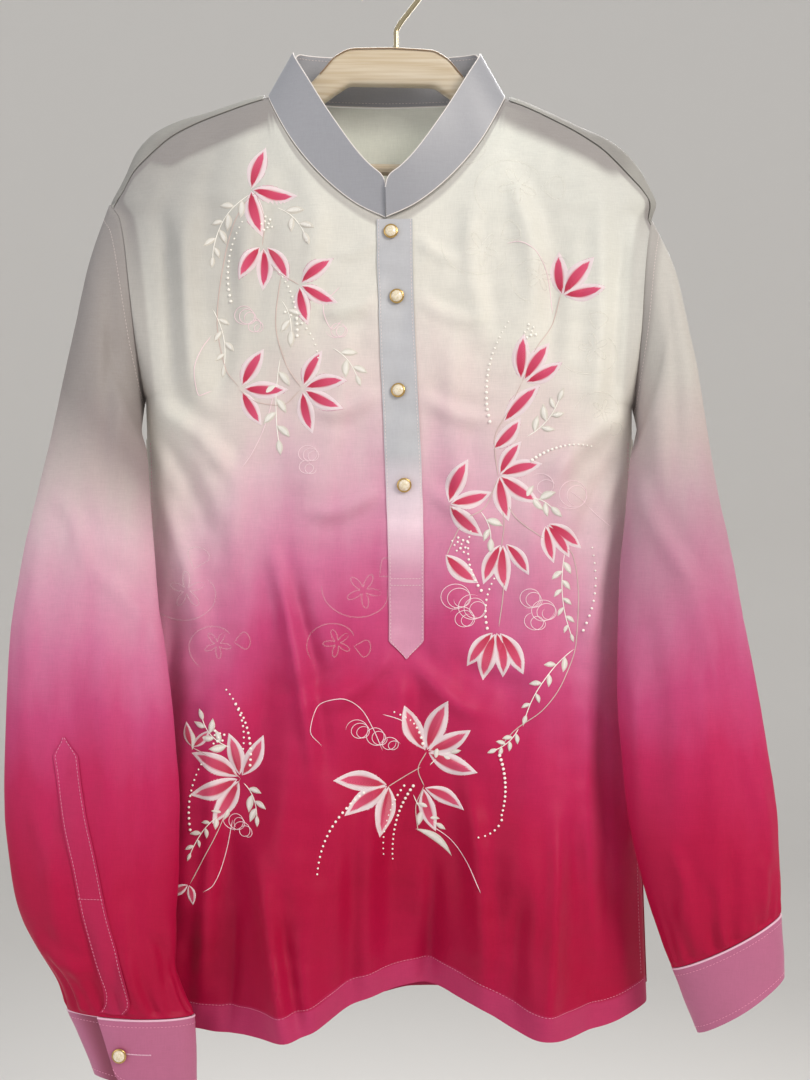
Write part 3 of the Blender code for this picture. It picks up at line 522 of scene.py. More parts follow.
def sleeve_at(side, share, angles):
    """The sleeve at a share of its length (rows) and angles round it (columns): a smooth curve through the
    armhole and the rings of the table, then creases, unevenness and the gathers above the cuff."""
    rings = np.stack([armhole_ring(side, angles), *(flat_ring(row, angles) for row in SLEEVES[side])])
    grid = curve(share, np.linspace(0.0, 1.0, len(rings)), rings)
    tuck = np.clip(-np.asarray(share) / TUCK, 0.0, 1.0)[:, None]
    grid[..., 0] -= side * (2.2 + 3.0 * tuck) * (tuck > 0)
    grid[..., 1] *= 1.0 - (0.06 + 0.02 * tuck) * (tuck > 0)
    share = np.asarray(share)[:, None]
    facing = np.sin(angles) * np.ones_like(share)
    front = smooth_step(facing, -0.15, 0.45)
    back = smooth_step(-facing, -0.15, 0.45)
    x, z = grid[..., 0], grid[..., 2]
    ends = smooth_step(share, 0.0, 0.07) * smooth_step(1.0 - share, 0.0, 0.03)
    relief = creases(x, z, SLEEVE_CREASES[side]) * (front + 0.8 * back)
    relief += 0.9 * ripples(x * 1.4 + 90.0 * back, z * 0.7, 74.0, 41 + side)
    relief += 0.15 * ripples(x + 70.0 * back, z, 22.0, 47 + side)
    wave = np.sin(angles * 11.0 + 2.2 * np.sin(angles * 3.0 + side) + share * 9.0)
    relief += 1.5 * (wave + 0.5 * np.sin(angles * 23.0 + 1.0)) * smooth_step(share, 0.78, 0.96)
    relief = relief * ends * (0.45 + 0.55 * np.abs(facing))
    return grid + normals_of(grid, True) * relief[..., None]


def ring_angles(side, around):
    """Angles round a sleeve. They run the other way on the right."""
    angles = round_turns(around)
    return angles if side < 0 else -angles


def sleeve_share(rows):
    """Shares of the sleeve's length, after two that are tucked under the armhole's seam."""
    return np.concatenate([[-TUCK, -TUCK / 2.0], np.linspace(0.0, 1.0, rows)])


def cuff_grid(side, columns=150, rows=22):
    """A cuff wraps once round the wrist and its upper end, with a rounded lower corner, lies over its lower
    one. Rows are straight between the rings of the table."""
    turns = np.linspace(0.0, 2.0 * math.pi + math.radians(CUFF_OVERLAP), columns)
    angles = math.radians(CUFF_OPENING_ANGLE[side]) - side * turns
    rings = np.stack([flat_ring(row, angles) for row in CUFFS[side]])
    edge = travel_along(rings[-1])
    height = np.linalg.norm(rings[-1] - rings[0], axis=1)
    near = np.clip(1.0 - edge / CUFF_CORNER, 0.0, 1.0)
    far = np.clip(1.0 - (edge[-1] - edge) / CUFF_CORNER, 0.0, 1.0)
    short = (2.0 - np.sqrt(1.0 - near**2) - np.sqrt(1.0 - far**2)) * CUFF_CORNER / height
    share = np.linspace(0.0, 1.0, rows)[:, None] * (1.0 - short)
    at = share * (len(rings) - 1)
    low = np.clip(np.floor(at).astype(int), 0, len(rings) - 2)
    column = np.broadcast_to(np.arange(columns), at.shape)
    part = (at - low)[..., None]
    grid = rings[low, column] * (1.0 - part) + rings[low + 1, column] * part
    sunk = CUFF_SUNK * smooth_step(turns, 1.6 * math.pi, 1.96 * math.pi)
    soft = 0.5 * ripples(grid[..., 0], grid[..., 2], 46.0, 61 + side) * smooth_step(share, 0.0, 0.3)
    return grid - normals_of(grid) * (sunk - soft)[..., None]


def collar_grid(columns=241, rows=14):
    """The collar's band, straight from the neck's seam to its free edge, with rounded front corners."""
    place = np.linspace(-1.0, 1.0, columns)
    sign, around = np.sign(place), 1.0 - np.abs(place)
    z = neck_half(2, around)
    a = sign * neck_half(1, around) / half_width(z)
    length = length_down(a, z)
    seam = np.where((around < NECK_FRONT_SHARE)[:, None], torso(a, length, -1), torso(a, length, 1))
    edge = np.stack([middle_x(z) + sign * neck_half(3, around), seam[:, 1] + neck_half(4, around),
                     neck_half(5, around)], -1)
    over = 2.6 * smooth_step(place, 0.6, 0.94)
    seam[:, 1] -= over
    edge[:, 1] -= over
    meet = smooth_step(around, 0.07, 0.0) * np.where(sign > 0, -1.9, 0.9)
    seam[:, 0] += 0.5 * meet
    edge[:, 0] += meet
    travel = travel_along(edge)
    near = np.clip(1.0 - np.minimum(travel, travel[-1] - travel) / COLLAR_CORNER, 0.0, 1.0)
    height = np.linalg.norm(edge - seam, axis=1)
    full = 1.0 - (1.0 - np.sqrt(1.0 - near**2)) * COLLAR_CORNER / height
    share = np.linspace(1.0, 0.0, rows)[:, None] * full
    return seam + (edge - seam) * share[..., None]


def placket_grid(columns=21, rows=190):
    """The placket's strip, with a pointed foot, on the creased front."""
    z = np.linspace(PLACKET_TOP_Z, PLACKET_FOOT_Z, rows)
    half = PLACKET_WIDTH / 2.0 * np.clip((z - PLACKET_FOOT_Z) / PLACKET_POINT, 0.04, 1.0)
    x = placket_middle(z)[:, None] + half[:, None] * np.linspace(-1.0, 1.0, columns)
    return front_place(x, np.broadcast_to(z[:, None], x.shape))


def placket_middle(z):
    """The placket's middle: it leans towards the viewer's right on its way down."""
    return 4.0 + 10.0 * smooth_step(-z, 240.0, 560.0)


def sleeve_placket_grid(side, columns=13, rows=110):
    """The sleeve placket's pointed strip, at its places on the sleeve's rings."""
    run = np.linspace(0.0, 1.0, rows)
    share = SLEEVE_PLACKET[0][0] + (SLEEVE_PLACKET[-1][0] - SLEEVE_PLACKET[0][0]) * run
    turned = -side * np.radians(look_up(SLEEVE_PLACKET, 1, share))
    table = np.array(SLEEVES[side])
    keys = np.linspace(0.0, 1.0, len(table) + 1)[1:]
    reach = np.hypot(table[:, 0] - table[:, 2], table[:, 1] - table[:, 3]) / 2.0
    half = SLEEVE_PLACKET_WIDTH / 2.0 * np.clip(run * 28.0, 0.06, 1.0)
    turn = half / (np.interp(share, keys, reach) * np.abs(np.sin(turned)))
    places = turned[:, None] - side * np.linspace(-1.0, 1.0, columns) * turn[:, None]
    return on_sleeve(side, share, places)


def on_sleeve(side, share, angles):
    """(points, outward normals) of the creased sleeve, for a row of angles at each share of its length."""
    around, rows = SLEEVE_MAP
    grid = sleeve_at(side, np.linspace(0.0, 1.0, rows), ring_angles(side, around))
    normal = normals_of(grid, True)
    row = share[:, None] * (rows - 1.0)
    column = (-side * angles % (2.0 * math.pi)) / (2.0 * math.pi) * around
    return sample(grid, row, column), unit(sample(normal, row, column))


def sample(grid, row, column):
    """A grid's values between its points. Columns wrap round."""
    row, column = np.broadcast_arrays(row, column)
    i = np.clip(np.floor(row).astype(int), 0, grid.shape[0] - 2)
    j = np.floor(column).astype(int)
    s, t = (row - i)[..., None], (column - j)[..., None]
    j, k = j % grid.shape[1], (j + 1) % grid.shape[1]
    return ((grid[i, j] * (1 - t) + grid[i, k] * t) * (1 - s)
            + (grid[i + 1, j] * (1 - t) + grid[i + 1, k] * t) * s)


def normals_of(grid, wraps=False):
    """The outward unit normals of a grid whose rows run down and whose columns run to +X on the front."""
    if wraps:
        along = np.roll(grid, -1, axis=1) - np.roll(grid, 1, axis=1)
    else:
        along = np.gradient(grid, axis=1)
    return unit(np.cross(np.gradient(grid, axis=0), along))


# Meshes -------------------------------------------------------------------------------------------------

def closed(index):
    """A grid of point numbers with its first column again after its last."""
    return np.concatenate([index, index[..., :1]], -1)


def quads(index):
    """The faces between a grid's neighbouring points."""
    corners = (index[..., :-1, :-1], index[..., 1:, :-1], index[..., 1:, 1:], index[..., :-1, 1:])
    return np.stack(corners, -1).reshape(-1, 4)


def tubes(rings):
    """Closed bodies, each from a row of rings: (points, faces)."""
    index = np.arange(rings.size // 3).reshape(rings.shape[:3])
    starts = range(1, rings.shape[2] - 2, 2)
    caps = [end[:, [0, k, k + 1, k + 2]] for end in (index[:, 0, ::-1], index[:, -1]) for k in starts]
    return rings.reshape(-1, 3), np.concatenate([quads(closed(index))[:, [0, 3, 2, 1]], *caps])


def turned_rings(rows, sides):
    """Rings about the Z axis, one for each (radius, height) row."""
    turns = round_turns(sides)
    return np.stack([rows[:, :1] * np.cos(turns), rows[:, :1] * np.sin(turns),
                     np.broadcast_to(rows[:, 1:], (len(rows), sides))], -1)


def both_skins(values):
    """A grid's values for the points of its shell."""
    return np.concatenate([values.ravel()] * 2)


def shell(grid, wall, wraps=False, lift=0.0, normal=None):
    """A closed wall of a grid's points, moved out by lift: (points, faces). Its two skins are joined
    all round."""
    normal = normals_of(grid, wraps) if normal is None else normal
    points = np.concatenate([(grid + normal * (lift + wall / 2.0)).reshape(-1, 3),
                             (grid + normal * (lift - wall / 2.0)).reshape(-1, 3)])
    rows, columns = grid.shape[:2]
    index = np.arange(rows * columns).reshape(rows, columns)
    index = closed(index) if wraps else index
    under = rows * columns
    outer = quads(index)
    faces = [outer, outer[:, ::-1] + under]
    edges = [index[0, ::-1], index[-1, :]] + ([] if wraps else [index[:, 0], index[::-1, -1]])
    faces += [np.stack([edge[:-1], edge[:-1] + under, edge[1:] + under, edge[1:]], -1) for edge in edges]
    return points, np.concatenate(faces)


def cords(centres, normals, radius, sides=6):
    """Round cords with closed ends: each row of centres is one, with a radius at each of its points."""
    centres = np.asarray(centres, float)
    radius = np.broadcast_to(radius, centres.shape[:2])[..., None, None]
    heading = unit(np.gradient(centres, axis=1))
    side = unit(np.cross(normals, heading))
    up = np.cross(heading, side)
    turns = round_turns(sides)[:, None]
    around = np.cos(turns) * side[:, :, None] + np.sin(turns) * up[:, :, None]
    return tubes(centres[:, :, None] + radius * around)


def joined(parts):
    """Several (points, faces) as one."""
    starts = np.cumsum([0] + [len(points) for points, _ in parts[:-1]])
    return (np.concatenate([points for points, _ in parts]),
            np.concatenate([faces + start for (_, faces), start in zip(parts, starts)]))


def make_piece(name, points, faces, materials, replaces=(), slot=None, marks=None, pick=None, stage=False,
               smooth_to=60.0):
    """A mesh object that rides on the frame's root. marks are named values at its points, and pick is the
    material's number for each face."""
    old = bpy.data.objects.get(name)
    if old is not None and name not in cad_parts:
        bpy.data.objects.remove(old, do_unlink=True)
    mesh = bpy.data.meshes.new(name)
    mesh.from_pydata(mm(points).tolist(), [], np.asarray(faces).tolist())
    for mark, values in (marks or {}).items():
        layer = mesh.attributes.new(mark, "FLOAT", "POINT")
        layer.data.foreach_set("value", np.asarray(values, np.float32).ravel())
    for material in materials:
        mesh.materials.append(material)
    if pick is not None:
        mesh.polygons.foreach_set("material_index", np.asarray(pick, np.int32))
    mesh.shade_smooth()
    mesh.set_sharp_from_angle(angle=math.radians(smooth_to))
    obj = bpy.data.objects.new(name, mesh)
    bpy.context.scene.collection.objects.link(obj)
    if stage:
        return obj
    if len(replaces):
        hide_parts(*replaces)
    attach(obj, "root")
    return obj


def lathe(profile, sides):
    """A closed body turned about its axis from (radius, height) rows. The first and last are on it."""
    rows = np.array(profile, float)
    rows[[0, -1], 0] = 0.01
    return tubes(turned_rings(rows, sides)[None])


def placed(points, centre, outward):
    """Turned points moved so that their axis points outward from a centre."""
    outward = unit(np.asarray(outward, float))
    side = unit(np.cross([0.0, 0.0, 1.0], outward))
    return np.asarray(centre) + points @ np.stack([side, np.cross(outward, side), outward])


# Materials ----------------------------------------------------------------------------------------------

# Waves of each pattern in a metre.
YARN_ACROSS, YARN_ALONG = 1500.0, 110.0     # 0.7 mm, coarser than real yarn so that it shows, and 9 mm
DRIP_WAVES = (13.0, 13.0, 3.5)              # the dye's edge wanders over 77 mm, and is drawn out downwards
CLOUD_WAVES = 320.0                         # 3 mm, a quarter of a button
GRAIN_WAVES = (14.0, 60.0, 420.0)           # streaks 70 mm long and 2.4 mm apart

# Heights, in metres below the hook, and colours of the dip dye from the ivory top to the hem.
DYE = [
    (0.18, "E4E5DD"), (0.35, "E5E2D9"), (0.42, "E3D3D0"), (0.47, "E0BCC7"), (0.52, "DB9BB5"),
    (0.57, "D5759E"), (0.62, "CC4B7F"), (0.68, "C4285D"), (0.76, "B81345"), (0.84, "B00A3B"),
    (0.93, "B20D42"),
]


def new_material(name):
    """An empty node material. Its nodes are cleared if it is there already."""
    material = bpy.data.materials.get(name) or bpy.data.materials.new(name)
    material.use_nodes = True
    material.node_tree.nodes.clear()
    return material


def add(tree, kind, inputs=None, out=0, **settings):
    """Adds a node with its settings, and its inputs set to a value or linked to another's output. It
    gives one of the node's outputs, or all of them if out is None."""
    node = tree.nodes.new("ShaderNode" + kind)
    for key, value in settings.items():
        setattr(node, key, value)
    for key, value in (inputs or {}).items():
        if isinstance(value, bpy.types.NodeSocket):
            tree.links.new(value, node.inputs[key])
        else:
            node.inputs[key].default_value = value
    return node.outputs if out is None else node.outputs[out]


def finish_material(material, shader_inputs, bump=None, see_through=None, share=0.12):
    """The shader, its bump as (height, strength, distance) and, for thin cloth, the colour that it lets
    through and the share of the light that goes that way."""
    tree = material.node_tree
    if bump is not None:
        height, strength, distance = bump
        relief = add(tree, "Bump", {"Height": height, "Strength": strength, "Distance": distance})
        shader_inputs = {**shader_inputs, "Normal": relief}
    surface = add(tree, "BsdfPrincipled", shader_inputs)
    if see_through is not None:
        glow = add(tree, "BsdfTranslucent", {"Color": see_through})
        surface = add(tree, "MixShader", {0: share, 1: surface, 2: glow})
    add(tree, "OutputMaterial", {0: surface}, None)
    return material


def slubs(tree, place):
    """Threads both ways with the thick and thin places of hand-spun yarn: the mean of two noises, each
    drawn out along its own threads."""
    noises = []
    for scale in ((YARN_ACROSS, YARN_ACROSS, YARN_ALONG), (YARN_ALONG, YARN_ALONG, YARN_ACROSS)):
        way = add(tree, "Mapping", {0: place, 3: scale})
        noises.append(add(tree, "TexNoise", {"Vector": way, "Scale": 1.0, "Detail": 2.0}))
    total = add(tree, "Math", {0: noises[0], 1: noises[1]}, operation="ADD")
    return add(tree, "Math", {0: total, 1: 0.5}, operation="MULTIPLY")


def slubbed(tree, colour, weave, least):
    """The colour, times least where the weave is low and a little more than 1 where it is high."""
    thread = add(tree, "MapRange", {0: weave, 1: 0.3, 2: 0.7, 3: least, 4: 1.05})
    shade = add(tree, "CombineColor", {0: thread, 1: thread, 2: thread})
    return add(tree, "Mix", {0: 1.0, 6: colour, 7: shade}, 2, data_type="RGBA", blend_type="MULTIPLY")


def dyed_to(tree, colour, mark, share, second, blend="MIX"):
    """The colour, mixed with a second by a share of one of the mesh's marks."""
    amount = add(tree, "Attribute", None, "Fac", attribute_name=mark)
    if share != 1.0:
        amount = add(tree, "Math", {0: amount, 1: share}, operation="MULTIPLY")
    return add(tree, "Mix", {0: amount, 6: colour, 7: linear(second)}, 2, data_type="RGBA",
               blend_type=blend)


def organza(name, cloth, dye_drop=0.0, dye_slope=0.0, share=0.12):
    """Dip-dyed organza: an uneven dye line from ivory to deep rose, a satiny sheen and slubbed yarn, greyer
    where the hanger and seams show through and with painted shade at the shoulders, armholes, left chest
    and sleeve tops, and deeper where the hem lies double. The dye's place is the height, plus a noise, plus
    dye_slope times x squared, plus dye_drop."""
    material = new_material(name)
    tree = material.node_tree
    place = add(tree, "TexCoord", None, "Object")
    parts = add(tree, "SeparateXYZ", {0: place}, None)
    drip = add(tree, "Mapping", {0: place, 3: DRIP_WAVES})
    wash = add(tree, "TexNoise", {"Vector": drip, "Scale": 1.0, "Detail": 4.0, "Roughness": 0.62})
    wobble = add(tree, "Math", {0: wash, 1: 0.5}, operation="SUBTRACT")
    wobble = add(tree, "Math", {0: wobble, 1: 0.12}, operation="MULTIPLY")
    slope = add(tree, "Math", {0: parts["X"], 1: parts["X"]}, operation="MULTIPLY")
    slope = add(tree, "Math", {0: slope, 1: dye_slope}, operation="MULTIPLY")
    slope = add(tree, "Math", {0: slope, 1: dye_drop}, operation="ADD")
    height = add(tree, "Math", {0: parts["Z"], 1: wobble}, operation="ADD")
    height = add(tree, "Math", {0: height, 1: slope}, operation="ADD")
    low, high = -DYE[-1][0], -DYE[0][0]
    run = add(tree, "MapRange", {0: height, 1: low, 2: high})
    colour = add(tree, "ValToRGB", {0: run})
    stops = colour.node.color_ramp.elements
    for number, (drop, shade) in enumerate(reversed(DYE)):
        at = (-drop - low) / (high - low)
        stop = stops[number] if number < 2 else stops.new(at)
        stop.position, stop.color = at, linear(shade)
    weave = slubs(tree, place)
    # Painted shade: the mark greys the cloth over the hanger and seams, and paints shadow on the shoulders,
    # armholes, left chest and sleeve tops.
    colour = dyed_to(tree, colour, "see_through_and_painted_shade", 0.75, cloth.behind_colour, "MULTIPLY")
    colour = dyed_to(tree, colour, "double", 0.55, "C8487A")
    colour = slubbed(tree, colour, weave, 0.93)
    return finish_material(material, {
        "Base Color": colour, "Roughness": 0.52, "Sheen Weight": cloth.sheen, "Sheen Roughness": 0.35,
        "Sheen Tint": linear("F2C9D6"), "Specular IOR Level": 0.18}, (weave, 0.35, 0.00025), colour, share)


def satin(name, colour, lower=None, under=None, roughness=0.38):
    """Close-woven satin: a smooth, slightly streaked sheen. lower is (middle, foot) colours that it
    fades to, and under is the colour where the mark of that name is 1, painted shade on the cuff's under
    end."""
    material = new_material(name)
    tree = material.node_tree
    place = add(tree, "TexCoord", None, "Object")
    weave = slubs(tree, place)
    base = linear(colour)
    if lower is not None:
        height = add(tree, "SeparateXYZ", {0: place}, "Z")
        run = add(tree, "MapRange", {0: height, 1: -0.62, 2: -0.44})
        base = add(tree, "ValToRGB", {0: run})
        stops = base.node.color_ramp.elements
        stops[0].color, stops[1].color = linear(lower[1]), linear(colour)
        for at, shade in ((0.42, lower[1]), (0.68, lower[0])):
            stops.new(at).color = linear(shade)
    base = slubbed(tree, base, weave, 0.94)
    if under is not None:
        base = dyed_to(tree, base, "under", 1.0, under)
    return finish_material(material, {
        "Base Color": base, "Roughness": roughness, "Sheen Weight": 0.3, "Sheen Roughness": 0.3},
        (weave, 0.2, 0.0002))


def silk(name, colour, border=None, deep=None, alpha=1.0):
    """Embroidery silk: fine ridges across each petal catch the light. A mark gives the pale border and
    another the deeper colour at the petal's root. The ridges are a sine of the mark stitch."""
    material = new_material(name)
    tree = material.node_tree
    base = linear(colour)
    if deep is not None:
        base = dyed_to(tree, base, "deep", 1.0, deep)
    if border is not None:
        base = dyed_to(tree, base, "border", 1.0, border)
    inputs = {"Base Color": base, "Roughness": 0.42, "Sheen Weight": 0.2, "Sheen Roughness": 0.3,
              "Alpha": alpha}
    if border is None:
        return finish_material(material, inputs)
    run = add(tree, "Attribute", None, "Fac", attribute_name="stitch")
    turn = add(tree, "Math", {0: run, 1: 2.0 * math.pi / STITCH_PITCH}, operation="MULTIPLY")
    ridge = add(tree, "Math", {0: turn}, operation="SINE")
    return finish_material(material, inputs, (ridge, 0.8, 0.0003))


def pearl(name, colour):
    """Mother of pearl: cloudy bands of warm and cool white under a clear gloss."""
    material = new_material(name)
    tree = material.node_tree
    place = add(tree, "TexCoord", None, "Object")
    cloud = add(tree, "TexNoise",
                {"Vector": place, "Scale": CLOUD_WAVES, "Detail": 3.0, "Distortion": 1.5})
    share = add(tree, "MapRange", {0: cloud, 1: 0.35, 2: 0.65})
    base = add(tree, "Mix", {0: share, 6: linear(colour), 7: linear("D8C8A4")}, 2, data_type="RGBA")
    return finish_material(material, {"Base Color": base, "Roughness": 0.22, "Coat Weight": 0.6})


def plain(name, colour, roughness, metallic=0.0, coat=0.0, grain=None):
    """A smooth solid: lacquered wood, gilt metal or paint. grain is a second colour in long soft streaks
    along X."""
    material = new_material(name)
    tree = material.node_tree
    base = linear(colour)
    if grain is not None:
        place = add(tree, "TexCoord", None, "Object")
        way = add(tree, "Mapping", {0: place, 3: GRAIN_WAVES})
        noise = add(tree, "TexNoise", {"Vector": way, "Scale": 1.0, "Detail": 3.0})
        share = add(tree, "MapRange", {0: noise, 1: 0.35, 2: 0.65})
        base = add(tree, "Mix", {0: share, 6: base, 7: linear(grain)}, 2, data_type="RGBA")
    return finish_material(material, {"Base Color": base, "Roughness": roughness, "Metallic": metallic,
                                      "Coat Weight": coat})


# Settings -----------------------------------------------------------------------------------------------

def length_setting(name, description, default):
    """A length in metres, from millimetres."""
    return bpy.props.FloatProperty(name=name, description=description, default=default / 1000.0, min=0.0,
                                   subtype="DISTANCE", unit="LENGTH", precision=4)


def hex_setting(name, description, default):
    """A colour as six sRGB hex digits."""
    return bpy.props.StringProperty(name=name, description=description, default=default, maxlen=6)


class BarongCloth(bpy.types.PropertyGroup):
    """The cloth and the satin bands."""
    wall: length_setting("Cloth wall", "Thickness of the organza as it is shown", 0.6)
    band_wall: length_setting("Band wall", "Thickness of the lined collar, cuffs and plackets", 1.0)
    sheen: bpy.props.FloatProperty(name="Sheen", description="How silky the organza looks", default=0.06,
                                   min=0.0, max=1.0, subtype="FACTOR")
    # The grey-mauve of the hanger and seams seen through the cloth, also used as painted shade.
    behind_colour: hex_setting("Seen through", "Tint where the hanger and seams show through", "8A7F86")
    collar_colour: hex_setting("Collar", "Grey satin of the collar", "98999F")
    placket_colour: hex_setting("Placket colour", "Grey satin of the front placket", "B9BABE")
    cuff_colour: hex_setting("Cuffs", "Colour of the cuffs", "B26284")


class BarongThread(bpy.types.PropertyGroup):
    """The silk of the embroidery."""
    petal: hex_setting("Petals", "Colour of the petals' tips", "EC5B84")
    petal_root: hex_setting("Petal roots", "Deeper colour at the petals' roots", "C8153F")
    border: hex_setting("Petal borders", "Pale border of the petals", "FDEAEE")
    # A rose thread round each petal, in a deeper tone that also stands for the shadow at its rim.
    outline: hex_setting("Petal outlines", "Rose thread round each petal", "C98CA2")
    ivory: hex_setting("Leaves and knots", "Ivory silk of the small leaves and knots", "FCF9F1")
    # Painted shade: greyer ivory at the edges of the leaves, where the padding turns down.
    leaf_edge: hex_setting("Leaf edges", "Greyer ivory at the edges of the leaves", "E6E0D4")
    stem: hex_setting("Stems", "Pale grey-brown silk of the stems", "D2BDB6")
    scroll: hex_setting("Scrolls", "Pale pink silk of the tendrils and scrolls", "F6DDE3")
    float: hex_setting("Woven figures", "Pale float of the tone-on-tone figures", "FBF4EC")
    petal_height: length_setting("Petal height", "How far a petal's padding stands out", 1.3)


class BarongTrim(bpy.types.PropertyGroup):
    """Buttons and hanger."""
    pearl: hex_setting("Pearl", "Colour of the buttons' domes", "EFE6D2")
    rim: hex_setting("Button rim", "Gilt round the buttons", "C7A668")
    wood: hex_setting("Hanger", "Colour of the hanger", "D3C6B0")
    wire: hex_setting("Hook", "Colour of the hook's wire", "B6AA8C")


class BarongStage(bpy.types.PropertyGroup):
    """Floor, light and lens."""
    floor_drop: bpy.props.FloatProperty(name="Floor", description="Drop from the hook to the floor",
                                        default=1.5, min=1.0, subtype="DISTANCE", unit="LENGTH")
    floor_colour: hex_setting("Floor colour", "Colour of the floor and its far sweep", "D6D4D1")
    key_power: bpy.props.FloatProperty(name="Key light", description="Power of the main soft light",
                                       default=60.0, min=0.0, subtype="POWER", unit="POWER")
    lens: bpy.props.FloatProperty(name="Lens", description="Focal length in millimetres",
                                  default=45.88, min=1.0)


# Pieces -------------------------------------------------------------------------------------------------

def hanger_behind(x, z):
    """How much of the hanger shows through at a place, as painted shade: the arms, softly, and the doubled
    shoulders.
    """
    reach = np.abs(x - HANGER_MIDDLE_X)
    top = look_up(HANGER, 1, reach) - HANGER_TILT * x
    bottom = look_up(HANGER, 2, reach) - HANGER_TILT * x
    arm = smooth_step(z, bottom - 12.0, bottom + 4.0) * smooth_step(z, top + 14.0, top + 2.0)
    return arm * smooth_step(reach, 212.0, 196.0)


def body_marks(grid, side):
    """The marks of a panel's points: how much shows through, with painted shade at the shoulders, armholes
    and left chest, and where the hem lies double.
    """
    x, z = grid[..., 0], grid[..., 2]
    a = across_at(x, z)
    length = length_down(a, z)
    top = top_length(a) if side < 0 else BACK_SEAM_DROP
    allowance = 0.5 * smooth_step(length - top, 10.0, 7.5)
    # Painted shade along the armholes, where their seams also show through.
    edge = 0.35 * smooth_step(np.abs(a), 0.93, 0.955) * smooth_step(z, -420.0, -380.0)
    # Painted shade over the shoulders, and a painted shadow across the left chest and shoulder.
    soft = 0.4 * smooth_step(np.abs(a), 0.35, 0.95) * smooth_step(z, -330.0, -170.0)
    soft = soft + 0.4 * smooth_step(a, -0.05, -0.7) * smooth_step(z, -470.0, -260.0)
    see_through_and_painted_shade = np.clip(0.9 * hanger_behind(x, z) + allowance + edge + soft, 0.0, 1.0)
    double = smooth_step(z - look_up(HEM, 1 if side < 0 else 2, a), HEM_TURN + 0.6, HEM_TURN - 0.6)
    return {"see_through_and_painted_shade": both_skins(see_through_and_painted_shade), "double": both_skins(double)}


def even_marks(points, see_through_and_painted_shade=0.0, double=0.0):
    """The same marks, for cloth whose points have one value or an array of their own."""
    return {"see_through_and_painted_shade": np.zeros(len(points)) + see_through_and_painted_shade, "double": np.zeros(len(points)) + double}


def settings():
    """The scene's settings for cloth, thread, trim and stage."""
    scene = bpy.context.scene
    return scene.barong_cloth, scene.barong_thread, scene.barong_trim, scene.barong_stage


def need(names):
    """The frame's nodes must be there before an operator stands in for them."""
    missing = [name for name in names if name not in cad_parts]
    if missing:
        raise RuntimeError(f"the frame has no node {', '.join(missing)}")


class BARONG_OT_body(bpy.types.Operator):
    """Front, back and yoke. Each is a grid of torso points: height falls from a ridge curve as length
    squared over length plus a bend, depth is the root of one less an exponential of that fall, and long
    folds and creases are bells added to the depth"""
    bl_idname = "barong.body"
    bl_label = "Body panels"
    bl_options = {"REGISTER", "UNDO"}

    def execute(self, context):
        need(("front", "back", "yoke"))
        cloth = settings()[0]
        wall = cloth.wall * 1000.0
        dyed = organza("Dip-dyed organza, front", cloth, -0.04, 2.9)
        lit = organza("Dip-dyed organza, back", cloth, -0.04, 2.9, 0.4)
        for node, grid, look in (("front", body_grid(-1, *FRONT_GRID), dyed),
                                 ("back", body_grid(1, *BACK_GRID), lit),
                                 ("yoke", yoke_grid(), lit)):
            points, faces = shell(grid, wall)
            if node == "yoke":
                marks = even_marks(points, both_skins(yoke_behind(grid)))
            else:
                marks = body_marks(grid, -1 if node == "front" else 1)
            make_piece(f"{node}_cloth", points, faces, [look], (node,), "dip_dyed_organza", marks)
        points, faces = joined([shell(side_seam(side), wall) for side in (-1, 1)])
        make_piece("side_seams_cloth", points, faces, [lit], marks=even_marks(points))
        return {"FINISHED"}


def side_seam(side, rows=160):
    """The felled seam that joins front and back at one side, from the armhole down to the hem."""
    front, back = body_grid(-1, 60, 180), body_grid(1, 60, 180)[:, ::-1]
    z = np.linspace(*SIDE_SEAM_ENDS, rows)
    edges = []
    for grid in (front, back):
        edge = grid[:, 0 if side < 0 else -1]
        order = np.argsort(edge[:, 2])
        edges.append(np.stack([np.interp(z, edge[order, 2], edge[order, k]) for k in range(3)], -1))
    share = np.linspace(0.0, 1.0, 7)
    strip = edges[0][:, None] * (1.0 - share[:, None]) + edges[1][:, None] * share[:, None]
    strip[..., 0] += side * (0.2 + 0.8 * np.sin(math.pi * share))
    strip[..., 1] += 3.6 * (share - 0.5)
    return strip if side > 0 else strip[:, ::-1]


def yoke_behind(grid):
    """How much shows through the yoke, as painted shade: most towards its seams and tips."""
    x, z = grid[..., 0], grid[..., 2]
    a = across_at(x, z)
    row = np.linspace(0.0, 1.0, grid.shape[0])[:, None] * np.ones_like(x)
    near = smooth_step(row, 0.5, 0.15)
    shade = 0.25 + 0.2 * hanger_behind(x, z) + 0.35 * smooth_step(np.abs(a), 0.4, 0.9)
    return np.clip(near * shade, 0.0, 1.0)


